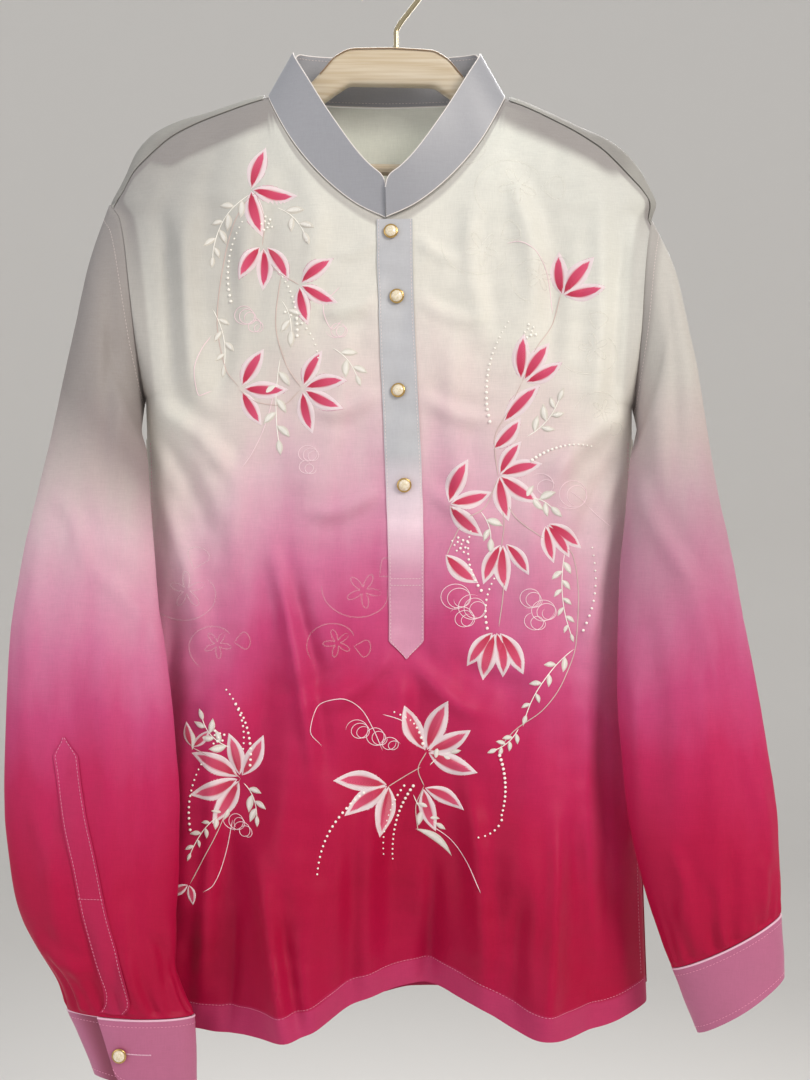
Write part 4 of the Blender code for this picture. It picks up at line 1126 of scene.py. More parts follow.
class BARONG_OT_sleeves(bpy.types.Operator):
    """Both sleeves. A smooth curve runs along each through the armhole's ellipse and a table of flattened
    rings, and creases, unevenness and the gathers above the cuff are added along its normals"""
    bl_idname = "barong.sleeves"
    bl_label = "Sleeves"
    bl_options = {"REGISTER", "UNDO"}

    def execute(self, context):
        need(("sleeve_left", "sleeve_right"))
        cloth = settings()[0]
        around, rows = SLEEVE_GRID
        for side, word, drop in ((-1, "left", 0.038), (1, "right", 0.014)):
            dyed = organza(f"Dip-dyed organza, {word} sleeve", cloth, drop)
            share = sleeve_share(rows)
            angles = ring_angles(side, around)
            grid = sleeve_at(side, share, angles)
            # Painted shade: a little by the armhole's seam, a shadow across the top of the left sleeve and
            # a fainter one on the right sleeve's upper half.
            near = smooth_step(share, 0.035, 0.015)
            shade = smooth_step(share, 0.33, 0.2) if side < 0 else 0.5 * smooth_step(share, 0.62, 0.3)
            see_through_and_painted_shade = np.clip(0.3 * near + shade, 0.0, 1.0)[:, None] * np.ones(len(angles))
            points, faces = shell(grid, cloth.wall * 1000.0, wraps=True)
            make_piece(f"sleeve_{word}_cloth", points, faces, [dyed], (f"sleeve_{word}",),
                       "dip_dyed_organza", even_marks(points, both_skins(see_through_and_painted_shade)))
        return {"FINISHED"}


class BARONG_OT_bands(bpy.types.Operator):
    """Collar, cuffs and plackets. The collar is straight between the neck's seam and its edge curve, the
    cuffs between three flattened rings, and each placket is a strip on the panel beneath it, moved out"""
    bl_idname = "barong.bands"
    bl_label = "Collar, cuffs and plackets"
    bl_options = {"REGISTER", "UNDO"}

    def execute(self, context):
        need(("collar", "cuff_left", "cuff_right", "placket",
              "sleeve_placket_left", "sleeve_placket_right"))
        cloth = settings()[0]
        wall = cloth.band_wall * 1000.0
        grey = satin("Grey satin", cloth.collar_colour)
        # The darker mauve is painted shade on the cuff's under end.
        mauve = satin("Mauve satin", cloth.cuff_colour, under="8A3A54")
        fading = satin("Grey satin fading to pink", cloth.placket_colour, ("E8CFDA", "CC8CA8"))
        points, faces = shell(collar_grid(), wall)
        make_piece("collar_band", points, faces, [grey], ("collar",), "grey_satin")
        grid, normal = placket_grid()
        points, faces = shell(grid, PLACKET_WALL, lift=PLACKET_LIFT, normal=normal)
        make_piece("placket_strip", points, faces, [fading], ("placket",), "grey_satin")
        for side, word in ((-1, "left"), (1, "right")):
            grid = cuff_grid(side)
            points, faces = shell(grid, wall)
            turns = np.linspace(0.0, 360.0 + CUFF_OVERLAP, grid.shape[1])
            # Painted shade where the cuff's under end lies sunk under its upper end.
            under = smooth_step(turns, 318.0, 352.0) * np.ones(grid.shape[:2])
            make_piece(f"cuff_{word}_band", points, faces, [mauve], (f"cuff_{word}",), "mauve_satin",
                       {"under": both_skins(under)})
            grid, normal = sleeve_placket_grid(side)
            dyed = bpy.data.materials.get(f"Dip-dyed organza, {word} sleeve")
            if dyed is None:
                raise RuntimeError("build the sleeves before their plackets")
            points, faces = shell(grid, PLACKET_WALL, lift=PLACKET_LIFT, normal=normal)
            make_piece(f"sleeve_placket_{word}_strip", points, faces, [dyed], (f"sleeve_placket_{word}",),
                       "dip_dyed_organza", even_marks(points, double=0.35))
        return {"FINISHED"}


# Needlework, as x and z on the front --------------------------------------------------------------------

# Fans of petals: x, z, heading in degrees, petals, spread, length, width, gap at the middle.
FANS = [
    (-117, -218, -4, 3, 148, 36, 14.5, 1), (-107, -261, -90, 3, 58, 33, 13.5, 6),
    (-76, -299, -20, 3, 110, 33, 13.5, 2), (-126, -386, 2, 3, 124, 33, 14, 3),
    (-74, -386, -8, 4, 132, 33, 13.5, 3), (146, -307, 54, 3, 78, 35, 15, 1),
    (110, -383, 58, 3, 62, 36, 15, 5), (96, -414, 42, 1, 0, 39, 14, 0),
    (87, -437, 44, 1, 0, 30, 12.5, 0), (92, -459, -8, 4, 134, 35, 14, 1),
    (49, -484, 14, 3, 112, 36, 15, 2), (47, -526, -40, 1, 0, 33, 15, 0),
    (95, -513, -86, 3, 56, 34, 13.5, 5), (130, -497, -58, 3, 44, 33, 13, 5),
    (90, -587, -92, 4, 64, 35, 14.5, 6), (90, -592, -84, 1, 0, 20, 8, 0),
    (31, -693, 46, 4, 132, 40, 16, 2), (-1, -720, 214, 3, 84, 40, 16, 2),
    (28, -723, -52, 2, 46, 37, 14, 2), (-127, -716, 150, 5, 176, 38, 15, 3),
    (-168, -690, 78, 2, 56, 22, 9, 1), (-171, -806, 250, 2, 60, 18, 8, 1),
]
# Sprigs of ivory leaves: x and z of both ends, bow, leaves, leaf length.
SPRIGS = [
    (-118, -222, -150, -282, -10, 8, 15), (-150, -318, -142, -376, 6, 5, 13),
    (-96, -232, -70, -262, 5, 4, 17), (-91, -312, -84, -346, 4, 3, 17),
    (-92, -360, -92, -440, -4, 6, 17), (-48, -352, -26, -382, 4, 4, 17),
    (116, -426, 144, -390, -5, 6, 16), (76, -490, 84, -520, 4, 3, 16), (108, -480, 140, -490, 6, 5, 16),
    (148, -524, 156, -600, -6, 9, 12), (156, -606, 112, -670, -8, 7, 12),
    (108, -672, 86, -690, 3, 6, 11), (-132, -690, -160, -660, 6, 6, 15),
    (-124, -720, -112, -752, 4, 5, 15), (-132, -738, -172, -786, -6, 9, 11),
    (34, -704, 58, -692, 3, 3, 12), (20, -730, 46, -758, -4, 4, 14),
]
# Stems: x and z of the points that each runs through.
STEMS = [
    [(-104, -214), (-124, -232), (-140, -276), (-146, -330), (-139, -368), (-127, -385)],
    [(-112, -224), (-106, -246), (-108, -265)], [(-108, -268), (-96, -286), (-76, -299)],
    [(-92, -292), (-96, -330), (-88, -364), (-75, -385)],
    [(-127, -387), (-110, -398), (-92, -400), (-75, -387)],
    [(145, -305), (138, -330), (122, -354), (111, -381)],
    [(111, -381), (100, -404), (88, -430), (91, -460)],
    [(91, -462), (78, -488), (62, -494), (50, -484)],
    [(91, -462), (104, -492), (126, -510), (140, -518)], [(90, -470), (96, -500), (94, -519)],
    [(94, -519), (96, -552), (92, -587)], [(62, -496), (54, -512), (48, -526)],
    [(140, -518), (154, -524), (160, -560), (158, -600), (146, -632), (128, -656), (104, -674), (90, -690)],
    [(31, -693), (24, -708), (29, -722)], [(26, -706), (12, -714), (-2, -722)],
    [(29, -722), (22, -742), (24, -762)], [(-127, -716), (-136, -736), (-148, -764), (-170, -806)],
    [(-127, -716), (-146, -700), (-168, -690)],
]
# Tendrils of pale pink thread, in the same form.
TENDRILS = [
    [(99, -263), (107, -262), (122, -270), (133, -290), (138, -322)],
    [(-151, -341), (-158, -352), (-164, -372), (-160, -392), (-150, -388)],
    [(-98, -392), (-104, -414), (-116, -440), (-124, -452)],
    [(36, -757), (52, -768), (66, -786), (76, -808)],
    [(-57, -686), (-66, -672), (-60, -652), (-40, -646), (-24, -656), (-14, -672), (-6, -690)],
    [(-134, -752), (-140, -780), (-150, -806), (-158, -812)],
    [(152, -472), (166, -482), (178, -494), (188, -502)],
    [(-42, -300), (-56, -318), (-48, -336), (-40, -328)],
    [(-6, -660), (8, -664), (22, -676), (30, -692)],
]
# Scrolls: x, z, radius, turns.
SCROLLS = [
    (-124, -324, 9, 2.6), (-116, -332, 7, 2.0), (-46, -336, 8, 2.3), (-70, -440, 8, 2.6),
    (-72, -452, 6, 2.0), (127, -466, 10, 1.3), (152, -474, 15, 2.1), (54, -560, 13, 2.4),
    (68, -570, 12, 2.6), (60, -578, 10, 2.2), (116, -562, 10, 2.4), (128, -572, 11, 2.6),
    (120, -582, 8, 2.0), (-28, -672, 9, 2.4), (-14, -678, 9, 2.3), (-2, -683, 7, 2.0),
    (-134, -752, 9, 2.3), (-126, -758, 7, 2.0),
]
# Rows of knots: x and z of both ends, bow, knots, first and last radius.
KNOTS = [
    (-124, -246, -134, -312, -7, 15, 0.8, 1.5), (-96, -284, -78, -342, 6, 14, 0.8, 1.5),
    (-88, -322, -60, -366, 8, 11, 1.3, 0.8), (100, -330, 84, -414, -9, 19, 0.8, 1.6),
    (120, -446, 170, -434, 5, 15, 1.6, 0.8), (68, -506, 77, -556, -6, 12, 0.9, 1.5),
    (88, -546, 82, -588, -4, 10, 0.9, 1.5), (172, -520, 164, -590, 6, 12, 0.8, 1.4),
    (92, -694, 94, -744, 4, 14, 1.6, 1.1), (94, -748, 74, -762, 4, 6, 1.2, 0.9),
    (4, -658, 28, -686, 5, 9, 0.9, 1.5), (-22, -726, -60, -790, -9, 18, 1.5, 0.9),
    (20, -722, 2, -786, -6, 17, 1.5, 0.9), (12, -722, -6, -780, -6, 14, 1.2, 0.8),
    (-138, -640, -118, -704, 7, 16, 0.9, 1.5), (-130, -652, -124, -690, 3, 9, 1.3, 0.9),
    (-160, -704, -170, -760, -5, 13, 0.8, 1.4),
]
KNOT_CLUSTERS = [(59, -517, 11), (-104, -246, 8), (118, -338, 8), (-146, -680, 9)]   # x, z, knots
# Tone-on-tone figures of the weave: x and z of a five-petalled outline, its size and its turn in degrees.
FIGURES = [
    (62, -176, 13, 10), (108, -214, 17, 50), (78, -268, 15, -20), (126, -292, 12, 80),
    (172, -352, 13, 30), (180, -404, 10, 0), (-172, -556, 16, 20), (-146, -602, 12, 60),
    (-22, -556, 15, -10), (-44, -600, 12, 40),
]


def along(points, count):
    """Evenly spaced places on a smooth curve through the points."""
    points = np.array(points, float)
    keys = travel_along(points)
    fine = curve(np.linspace(0.0, keys[-1], 160), keys, points)
    run = travel_along(fine)
    at = np.linspace(0.0, run[-1], count)
    return np.stack([np.interp(at, run, fine[:, 0]), np.interp(at, run, fine[:, 1])], -1)


def bowed(x0, z0, x1, z1, bow, count):
    """Places on a parabola between two ends that stands sideways of their line by bow at its middle."""
    t = np.linspace(0.0, 1.0, count)
    length = math.hypot(x1 - x0, z1 - z0)
    off = bow * 4.0 * t * (1.0 - t)
    return np.stack([x0 + (x1 - x0) * t - (z1 - z0) / length * off,
                     z0 + (z1 - z0) * t + (x1 - x0) / length * off], -1)


def threads_on_front(lines, radius, lift=0.0):
    """Cords laid on the front along lines of (x, z) places, tapered at both ends."""
    lines = np.asarray(lines, float)
    points, normal = front_place(lines[..., 0], lines[..., 1])
    run = np.linspace(0.0, 1.0, lines.shape[1])
    taper = np.minimum(1.0, np.minimum(run, 1.0 - run) * 14.0 + 0.15)
    return cords(points + normal * (CLOTH_SKIN + radius * 0.5 + lift), normal, radius * taper)


def petals(fans, height, long=20, wide=17):
    """Padded pointed ovals. A sine gives each its width, a half round its height and a parabola its
    bend. (points, faces, marks, the cords of their rims)."""
    rows = np.array(fans, float)[:, :, None, None]
    x, z, turn, length, width, bend, tall = (rows[:, k] for k in range(7))
    u, v = np.linspace(0.0, 1.0, long)[:, None], np.linspace(-1.0, 1.0, wide)[None, :]
    profile = np.sin(math.pi * u**0.9) ** 0.92 + 0.012
    run = u * length
    off = v * width / 2.0 * profile + bend * length * 4.0 * u * (1.0 - u)
    at_x = x + run * np.cos(turn) - off * np.sin(turn)
    at_z = z + run * np.sin(turn) + off * np.cos(turn)
    points, normal = front_place(at_x, at_z)
    dome = np.sqrt(np.clip(1.0 - v**2, 0.0, 1.0)) * (0.35 + 0.65 * profile) * tall
    core = (v / 0.5) ** 2 + ((u - 0.45) / 0.41) ** 4
    crease = 0.16 * np.exp(-((core - 1.0) / 0.3) ** 2) * profile * tall
    points = points + normal * (height * (dome - crease))[..., None]
    faces = quads(np.arange(points.size // 3).reshape(points.shape[:3]))
    border = smooth_step(core, 0.85, 1.1) * np.ones_like(run)
    marks = {"border": border, "deep": (1.0 - u) ** 1.3, "stitch": run * 0.8 + np.abs(off) * 0.9}
    marks = {key: np.ravel(np.broadcast_to(value, at_x.shape)) for key, value in marks.items()}
    rim = [cords(points[:, :, k], normal[:, :, k], 0.3) for k in (0, -1)]
    return points.reshape(-1, 3), faces, marks, joined(rim)


def fan_rows():
    """One row for each petal: x, z, heading, length, width, bend and height, each a little different."""
    chance = np.random.default_rng(7)
    rows = []
    for x, z, heading, count, spread, length, width, start in FANS:
        for k in range(count):
            share = 0.0 if count == 1 else k / (count - 1.0) - 0.5
            turn = math.radians(heading + spread * share + chance.uniform(-5.0, 5.0))
            grow = chance.uniform(0.9, 1.06) * (1.0 - 0.12 * abs(share))
            bend = math.copysign(chance.uniform(0.02, 0.06), share if share else chance.uniform(-1.0, 1.0))
            rows.append((x + start * math.cos(turn), z + start * math.sin(turn), turn,
                         PETAL_LONGER * length * grow, PETAL_WIDER * width * grow, bend, 1.0))
    return rows


def figures():
    """Lines of each figure: a five-petalled rose curve, a looped leaf and a spiral that leaves it."""
    lines = []
    t = np.linspace(0.0, 1.0, 72)
    for number, (x, z, size, turn) in enumerate(FIGURES):
        turn, side = math.radians(turn), (-1.0) ** number
        angle = 2.0 * math.pi * t
        reach = size * (0.6 + 0.4 * np.cos(5.0 * angle))
        lines.append(np.stack([x + reach * np.cos(angle + turn), z + reach * np.sin(angle + turn)], -1))
        reach = size * (1.15 + 1.2 * np.sin(math.pi * t))
        swing = turn + side * (0.9 + 0.3 * np.sin(2.0 * math.pi * t))
        lines.append(np.stack([x + reach * np.cos(swing), z + reach * np.sin(swing)], -1))
        reach = size * (2.4 - 1.1 * t)
        swing = turn + math.pi + side * 3.4 * t
        lines.append(np.stack([x + reach * np.cos(swing), z + 0.8 * reach * np.sin(swing)], -1))
    return lines


def leaf_rows():
    """Pairs of small leaves along each sprig, and one at its end."""
    chance = np.random.default_rng(13)
    rows = []
    for x0, z0, x1, z1, bow, count, length in SPRIGS:
        places = bowed(x0, z0, x1, z1, bow, count + 2)
        heading = np.gradient(places, axis=0)
        for k in range(count):
            side = 0.0 if k == count - 1 else (-1.0) ** k
            lean = side * math.radians(chance.uniform(34.0, 52.0))
            turn = math.atan2(heading[k + 1][1], heading[k + 1][0]) + lean
            grow = chance.uniform(0.8, 1.1) * (1.0 - 0.3 * k / count)
            rows.append((*places[k + 1], turn, length * grow, length * grow * 0.46, 0.05 * side, 1.2))
    rows.append((22, -760, math.radians(-36.0), 38.0, 7.5, 0.12, 0.8))
    rows.append((-168, -692, math.radians(100.0), 20.0, 6.0, -0.1, 0.7))
    return rows


def knots():
    """(centres, normals, radii) of every knot on the front."""
    places, radii = [], []
    for x0, z0, x1, z1, bow, count, first, last in KNOTS:
        places.append(bowed(x0, z0, x1, z1, bow, count))
        radii.append(np.linspace(first, last, count))
    chance = np.random.default_rng(3)
    for x, z, count in KNOT_CLUSTERS:
        turn = np.arange(count) * 2.4
        reach = 2.3 * np.sqrt(np.arange(count) + 0.3)
        places.append(np.stack([x + reach * np.cos(turn), z + reach * np.sin(turn)], -1))
        radii.append(chance.uniform(0.9, 1.4, count))
    places, radii = np.concatenate(places), np.concatenate(radii)
    points, normal = front_place(places[:, 0], places[:, 1])
    return points, normal, KNOT_SIZE * radii


def balls(points, normal, radii):
    """Small balls, as cords whose radius follows a half turn of a sine."""
    turn = np.linspace(0.06, math.pi - 0.06, 6)
    along_x = unit(np.cross(normal, [0.0, 0.0, 1.0]))
    centres = points[:, None] - along_x[:, None] * (np.cos(turn) * radii[:, None])[..., None]
    centres = centres + (normal * (CLOTH_SKIN + 0.45 * radii[:, None]))[:, None]
    return cords(centres, np.broadcast_to(normal[:, None], centres.shape), np.sin(turn) * radii[:, None], 8)


class BARONG_OT_embroidery(bpy.types.Operator):
    """Embroidery. Petals and leaves are padded ovals whose width is a sine along them, stems, tendrils and
    scrolls are cords on smooth curves and spirals, and knots are rows of balls, all laid on the front"""
    bl_idname = "barong.embroidery"
    bl_label = "Embroidery"
    bl_options = {"REGISTER", "UNDO"}

    def execute(self, context):
        need(("front",))
        thread = settings()[1]
        height = thread.petal_height * 1000.0
        pink = silk("Petal silk", thread.petal, thread.border, thread.petal_root)
        ivory = silk("Ivory silk", thread.ivory)
        stem = silk("Grey-brown silk", thread.stem)
        pale = silk("Pale pink silk", thread.scroll)
        points, faces, marks, rim = petals(fan_rows(), height)
        make_piece("embroidered_petals", points, faces, [pink], marks=marks)
        # The rim cords are rose thread, deepened as painted shadow at the petals' edges.
        make_piece("petal_outlines_and_rim_shadows", *rim, [silk("Outline silk and rim shadow", thread.outline)])
        points, faces, marks, rim = petals(leaf_rows(), height, 12, 7)
        # The leaves' greyer border is painted shade at their edges.
        leaf = silk("Leaf silk", thread.ivory, thread.leaf_edge)
        make_piece("embroidered_leaves", points, faces, [leaf], marks=marks)
        make_piece("embroidered_stems", *threads_on_front([along(line, 60) for line in STEMS], 0.4), [stem])
        leaf_stems = [bowed(*sprig[:5], 24) for sprig in SPRIGS]
        make_piece("embroidered_leaf_stems", *threads_on_front(leaf_stems, 0.4), [ivory])
        spirals = []
        for number, (x, z, radius, turns) in enumerate(SCROLLS):
            t = np.linspace(0.0, 1.0, 70)
            turn = number * 1.7 + (-1.0) ** number * turns * 2.0 * math.pi * t
            reach = radius * (1.0 - 0.45 * t)
            spirals.append(np.stack([x + reach * np.cos(turn) + 7.0 * t,
                                     z + reach * 0.9 * np.sin(turn) - 3.0 * t], -1))
        make_piece("embroidered_scrolls", *threads_on_front(spirals, 0.3), [pale])
        tendrils = [along(line, 60) for line in TENDRILS]
        make_piece("embroidered_tendrils", *threads_on_front(tendrils, 0.36), [pale])
        make_piece("embroidered_knots", *balls(*knots()), [ivory])
        weave = silk("Float of the weave", thread.float, alpha=0.15)
        make_piece("woven_figures", *threads_on_front(figures(), 0.6, -0.35), [weave])
        return {"FINISHED"}


# Stitching ----------------------------------------------------------------------------------------------

def stitches(points, normals, pitch=3.0, gap=0.32, radius=0.22, lift=0.12):
    """Running stitches along a row of points: each is a short cord, with gap its share of the pitch that
    is left bare."""
    run = travel_along(points)
    count = max(2, int(run[-1] / pitch))
    starts = np.arange(count)[:, None] * run[-1] / count
    t = np.linspace(0.0, 1.0, 5)
    at = starts + run[-1] / count * (1.0 - gap) * t
    line = np.stack([np.interp(at, run, points[:, k]) for k in range(3)], -1)
    normal = unit(np.stack([np.interp(at, run, normals[:, k]) for k in range(3)], -1))
    arch = radius * np.array([0.25, 0.85, 1.0, 0.85, 0.25])
    return cords(line + normal * lift, normal, arch, 5)


def stitched_edge(grid, row=None, column=None, skin=CLOTH_SKIN, normal=None, **looks):
    """Stitches along one row or one column of a grid, on its outer skin."""
    normal = normals_of(grid) if normal is None else normal
    pick = (row, slice(None)) if row is not None else (slice(None), column)
    return stitches(grid[pick] + normal[pick] * skin, normal[pick], **looks)


class BARONG_OT_stitching(bpy.types.Operator):
    """Stitching and piping: rows of short cords along the seams, hems and edges of the panels' own grids"""
    bl_idname = "barong.stitching"
    bl_label = "Stitching and piping"
    bl_options = {"REGISTER", "UNDO"}

    def execute(self, context):
        band = settings()[0].band_wall * 1000.0 / 2.0
        ivory = silk("Ivory thread", "E9D9D6")
        rose = silk("Rose thread", "E59AB6")
        pale_lines, rose_lines = [], []
        a = np.linspace(-0.985, 0.985, 260)
        z = look_up(HEM, 1, a) + HEM_TURN
        hem, normal = front_place(middle_x(z) + a * half_width(z), z)
        rose_lines.append(stitches(hem + normal * CLOTH_SKIN, normal))
        back = body_grid(1, *BACK_GRID)
        normal = normals_of(back)
        above = np.argmin(np.abs(back[:, :, 2] - (back[-1, :, 2] + HEM_TURN)), axis=0)
        pick = (above, np.arange(back.shape[1]))
        rose_lines.append(stitches(back[pick] + normal[pick] * CLOTH_SKIN, normal[pick]))
        for side in (-1, 1):
            z = np.linspace(-430.0, -890.0, 120)
            line, normal = front_place(middle_x(z) + side * (half_width(z) - 6.0), z)
            rose_lines.append(stitches(line + normal * CLOTH_SKIN, normal, radius=0.18))
        strip, normal = placket_grid()
        skin = PLACKET_SKIN
        for column in (1, -2):
            pale_lines.append(stitched_edge(strip, column=column, skin=skin, normal=normal))
        for level in (-546.0, -551.5):
            x = placket_middle(level) + np.linspace(-13.0, 13.0, 14)
            line, up = front_place(x, np.full(14, level))
            pale_lines.append(stitches(line + up * skin, up, pitch=2.6))
        collar = collar_grid()
        pale_lines += [stitched_edge(collar, row=row, skin=band, radius=0.2) for row in (1, -2)]
        for side in (-1, 1):
            share, angles = sleeve_share(228), ring_angles(side, 200)
            sleeve = sleeve_at(side, share, angles)
            ring = np.concatenate([sleeve, sleeve[:, :1]], axis=1)
            pale_lines.append(stitched_edge(ring, row=6, radius=0.18))
            strip, normal = sleeve_placket_grid(side)
            rose_lines += [stitched_edge(strip, column=k, skin=skin, normal=normal) for k in (1, -2)]
            rose_lines.append(stitched_edge(strip, row=46, skin=skin, normal=normal, pitch=2.4))
            cuff = cuff_grid(side)
            rose_lines += [stitched_edge(cuff, row=row, skin=band, radius=0.2) for row in (2, -3)]
        make_piece("seam_stitches_pale", *joined(pale_lines), [ivory])
        make_piece("seam_stitches_rose", *joined(rose_lines), [rose])
        for word, colour, edges in (
                ("cuff", "E3B9CC", ((cuff_grid(-1), 0, 0.9), (cuff_grid(1), 0, 0.9))),
                ("collar", "E4DEDA", ((collar, -1, 0.6), (collar, 0, 0.6)))):
            pipes = [cords(grid[row][None], normals_of(grid)[row][None], radius, 8)
                     for grid, row, radius in edges]
            make_piece(f"{word}_piping", *joined(pipes), [silk(f"{word.capitalize()} piping", colour)])
        holes = []
        for side in (-1, 1):
            grid = cuff_grid(side)
            normal = normals_of(grid)
            i, hole = grid.shape[0] // 2, slice(4, 18)
            line = grid[i - 1:i + 1, hole].mean(0) + normal[i, hole] * band
            holes.append(stitches(line, normal[i, hole], pitch=1.1, gap=0.05, radius=0.6))
        make_piece("buttonhole_bars", *joined(holes), [silk("Buttonhole thread", "E3B9CC")])
        return {"FINISHED"}


# Buttons and hanger -------------------------------------------------------------------------------------

# Radius and height above the cloth, of the gilt rim and of the dome.
STUD = [(0.0, -0.4), (2.4, -0.4), (2.4, 0.4), (5.2, 0.4), (5.9, 0.7), (6.2, 1.4), (6.15, 2.0),
        (5.75, 2.5), (5.2, 2.65), (4.95, 2.35)]
PEARL = [(0.0, 1.9), (4.9, 1.95), (4.75, 2.6), (4.2, 3.35), (3.2, 3.95), (2.0, 4.3), (0.9, 4.42),
         (0.0, 4.45)]


def stud():
    """A gilt rim on a short shank, and a pearl dome in it: (points, faces, material numbers)."""
    rim, dome = lathe(STUD + [(0.0, 2.2)], 32), lathe(PEARL, 32)
    points, faces = joined([rim, dome])
    return points, faces, np.repeat([1, 0], [len(rim[1]), len(dome[1])])


class BARONG_OT_buttons(bpy.types.Operator):
    """Pearl studs: each is two profiles turned about an axis that stands out from the cloth"""
    bl_idname = "barong.buttons"
    bl_label = "Buttons"
    bl_options = {"REGISTER", "UNDO"}

    def execute(self, context):
        nodes = [f"button_{k}" for k in (1, 2, 3, 4)] + ["cuff_button_left", "cuff_button_right"]
        need(nodes)
        trim = settings()[2]
        finishes = [pearl("Mother of pearl", trim.pearl), plain("Gilt rim", trim.rim, 0.28, 1.0)]
        points, faces, pick = stud()
        places = []
        for x, z in BUTTONS:
            at, normal = front_place(np.array([x]), np.array([z]))
            places.append((at[0] + normal[0] * (PLACKET_SKIN + 0.3), normal[0]))
        for side in (-1, 1):
            grid = cuff_grid(side)
            normal = normals_of(grid)
            i = grid.shape[0] // 2
            j = int(CUFF_BUTTON_TURN / (360.0 + CUFF_OVERLAP) * (grid.shape[1] - 1))
            places.append((grid[i, j] + normal[i, j] * 1.2, normal[i, j]))
        for node, (centre, outward) in zip(nodes, places):
            make_piece(f"{node}_stud", placed(points, centre, outward), faces, finishes, (node,), "pearl",
                       pick=pick, smooth_to=40.0)
        return {"FINISHED"}


def rod(path, radius, sides=24):
    """A round rod along a path in the XZ plane."""
    path = np.asarray(path, float)
    across = np.broadcast_to([0.0, 1.0, 0.0], path.shape)
    return cords(path[None], across[None], radius, sides)


def arc(centre, radius, start, end, count):
    """Points on an arc in the XZ plane, from one angle in degrees to another."""
    angles = np.radians(np.linspace(start, end, count))
    x, z = centre
    return np.stack([x + radius * np.cos(angles), 0.0 * angles, z + radius * np.sin(angles)], -1)


class BARONG_OT_hanger(bpy.types.Operator):
    """Hanger: squared ovals along curves of its top, bottom and thickness, and a wire hook with a ball
    end"""
    bl_idname = "barong.hanger"
    bl_label = "Hanger"
    bl_options = {"REGISTER", "UNDO"}

    def execute(self, context):
        need(("hanger_body", "hook", "trouser_bar"))
        trim = settings()[2]
        wood = plain("Pale lacquered beech", trim.wood, 0.4, coat=0.25, grain="C3B194")
        brass = plain("Pale gilt wire", trim.wire, 0.24, 1.0)
        x = np.linspace(-197.0, 197.0, 150)
        reach = np.abs(x)
        top, bottom, thick = (look_up(HANGER, k, reach) for k in (1, 2, 3))
        sides = 40
        turns = (np.arange(sides) + 0.5) * 2.0 * math.pi / sides
        across = np.sign(np.cos(turns)) * np.abs(np.cos(turns)) ** HANGER_SQUARE
        upward = np.sign(np.sin(turns)) * np.abs(np.sin(turns)) ** HANGER_SQUARE
        middle, half = (top + bottom) / 2.0 - HANGER_TILT * x, (top - bottom)[:, None] / 2.0
        rings = np.stack([np.broadcast_to((x + HANGER_MIDDLE_X)[:, None], (len(x), sides)),
                          across * thick[:, None] / 2.0, middle[:, None] + upward * half], -1)
        make_piece("hanger_body_wood", *tubes(rings[None]), [wood], ("hanger_body",), "hanger_wood",
                   smooth_to=50.0)
        line_x = np.linspace(-62.0, 62.0, 90)
        line_top = look_up(HANGER, 1, np.abs(line_x)) - HANGER_TILT * line_x - 2.6
        front = -look_up(HANGER, 3, np.abs(line_x)) / 2.0 + 0.35
        line = np.stack([line_x + HANGER_MIDDLE_X, front, line_top], -1)
        out = np.broadcast_to([0.0, -1.0, 0.0], line.shape)
        inlay = plain("Brown inlay", "8A6F55", 0.5)
        make_piece("hanger_edge_line", *cords(line[None], out[None], 0.55), [inlay])
        bow_centre = (0.0, -(HOOK_RADIUS - HOOK_WIRE / 2.0))
        stem = np.array([(HOOK_STEM_X + out, 0.0, z) for out, z in (
            (0.0, HANGER_CREST_Z - 3.0), (0.0, -78.0), (0.0, -71.0),
            (2.2, -65.5), (10.0, -54.8), (15.0, -48.3))])
        lower = curve(np.linspace(0.0, len(stem) - 1.0, 30), np.arange(float(len(stem))), stem)
        path = np.concatenate([lower, arc(bow_centre, HOOK_RADIUS, -36.0, 214.0, 90)])
        wire = rod(path, np.r_[np.full(len(path) - 4, HOOK_WIRE / 2.0), 2.2, 2.0, 1.5, 0.3][None])
        make_piece("hook_wire", *wire, [brass], ("hook",), "hook_wire")
        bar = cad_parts["trouser_bar"]
        for slot in bar.material_slots:
            slot.material = wood
        return {"FINISHED"}


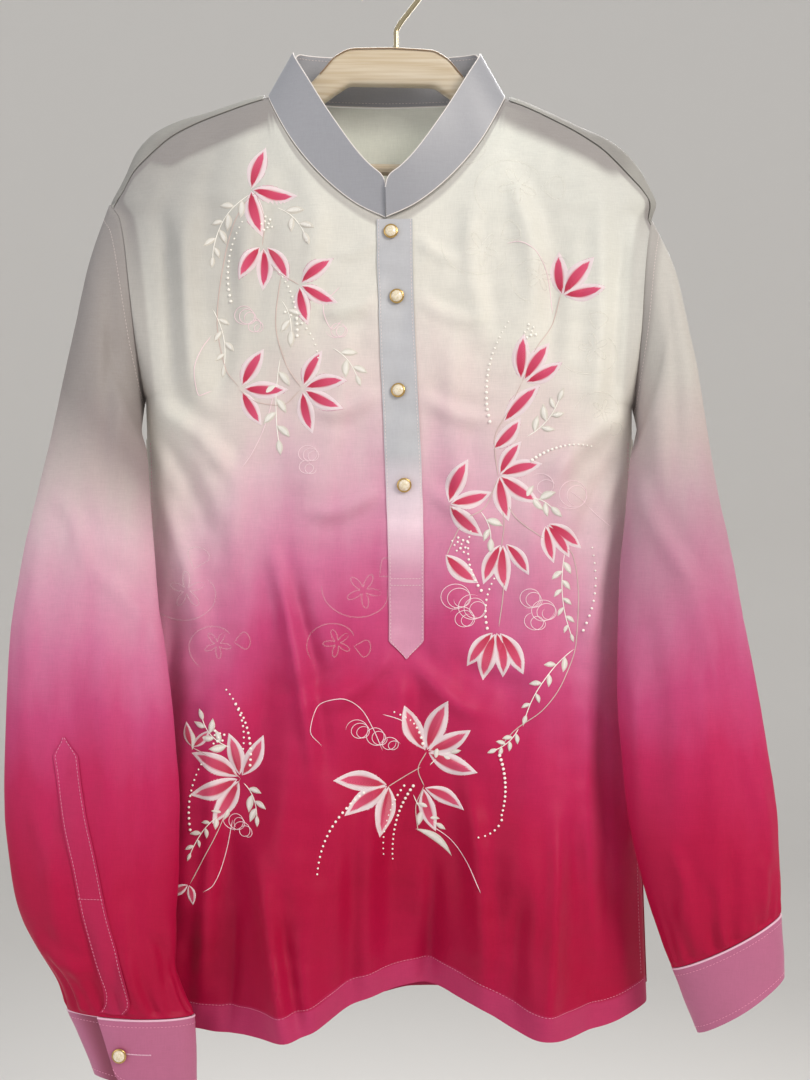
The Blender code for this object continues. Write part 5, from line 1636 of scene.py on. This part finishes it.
class BARONG_OT_stage(bpy.types.Operator):
    """Floor with a far sweep, three soft lights, pale surroundings and the camera"""
    bl_idname = "barong.stage"
    bl_label = "Studio"
    bl_options = {"REGISTER", "UNDO"}

    def execute(self, context):
        stage = settings()[3]
        profile = [(0.0, 0.0), (3.2, 0.0), (3.7, 0.06), (4.1, 0.24), (4.4, 0.55), (4.55, 1.0), (4.6, 3.4)]
        rows = np.array(profile)
        rows[0, 0] = 0.001
        rows[:, 1] -= stage.floor_drop
        rings = turned_rings(rows, 96) * 1000.0
        faces = quads(closed(np.arange(rings.size // 3).reshape(rings.shape[:2])))
        paint = plain("Pale studio floor", stage.floor_colour, 0.8)
        make_piece("floor", rings.reshape(-1, 3), faces, [paint], stage=True)
        for name, place, aim, size, power, tint in (
                ("key_light", (1.9, -2.0, 1.0), (0.0, 0.0, -0.45), 1.1, stage.key_power, "FFF8F0"),
                ("fill_light", (-2.2, -2.0, -0.2), (0.0, 0.0, -0.5), 2.0, stage.key_power * 0.34, "F2F5FF"),
                ("back_light", (0.2, 1.0, 0.3), (0.0, 0.0, -0.25), 1.0, stage.key_power * 0.36, "FFFFFF")):
            data = bpy.data.lights.new(name, "AREA")
            data.size, data.energy, data.color = size, power, linear(tint)[:3]
            light = bpy.data.objects.new(name, data)
            light.location = place
            light.rotation_euler = Vector(np.subtract(aim, place)).to_track_quat("-Z", "Y").to_euler()
            bpy.context.scene.collection.objects.link(light)
        world = bpy.data.worlds.new("Pale studio")
        world.use_nodes = True
        sky = world.node_tree.nodes["Background"].inputs
        sky[0].default_value, sky[1].default_value = linear(SKY_COLOUR), SKY_STRENGTH
        bpy.context.scene.world = world
        data = bpy.data.cameras.new("camera")
        data.sensor_width, data.lens = 36.0, stage.lens
        camera = bpy.data.objects.new("camera", data)
        camera.location = CAMERA_PLACE
        camera.rotation_euler = (math.radians(90.0), 0.0, 0.0)
        bpy.context.scene.collection.objects.link(camera)
        bpy.context.scene.camera = camera
        bpy.context.scene.view_settings.view_transform = "Standard"
        return {"FINISHED"}


OPERATORS = (BARONG_OT_body, BARONG_OT_sleeves, BARONG_OT_bands, BARONG_OT_embroidery, BARONG_OT_stitching,
             BARONG_OT_buttons, BARONG_OT_hanger, BARONG_OT_stage)
GROUPS = (BarongCloth, BarongThread, BarongTrim, BarongStage)


class BARONG_PT_panel(bpy.types.Panel):
    """The settings and the operators, in the 3D view's sidebar."""
    bl_idname = "BARONG_PT_panel"
    bl_label = "Barong"
    bl_space_type = "VIEW_3D"
    bl_region_type = "UI"
    bl_category = "Barong"

    def draw(self, context):
        for group in settings():
            box = self.layout.box()
            for name in group.__annotations__:
                box.prop(group, name)
        for operator in OPERATORS:
            self.layout.operator(operator.bl_idname)


def register():
    """Adds the add-on's classes and the scene's settings."""
    for item in (*GROUPS, *OPERATORS, BARONG_PT_panel):
        bpy.utils.register_class(item)
    for group in GROUPS:
        setattr(bpy.types.Scene, SCENE_NAMES[group.__name__], bpy.props.PointerProperty(type=group))


SCENE_NAMES = {"BarongCloth": "barong_cloth", "BarongThread": "barong_thread", "BarongTrim": "barong_trim",
               "BarongStage": "barong_stage"}


def unregister():
    """Takes away what register() added."""
    for name in SCENE_NAMES.values():
        delattr(bpy.types.Scene, name)
    for item in reversed((*GROUPS, *OPERATORS, BARONG_PT_panel)):
        bpy.utils.unregister_class(item)


def main():
    """Builds every group of pieces and the stage."""
    register()
    for operator in OPERATORS:
        family, name = operator.bl_idname.split(".")
        getattr(getattr(bpy.ops, family), name)()


if __name__ == "__main__":
    main()
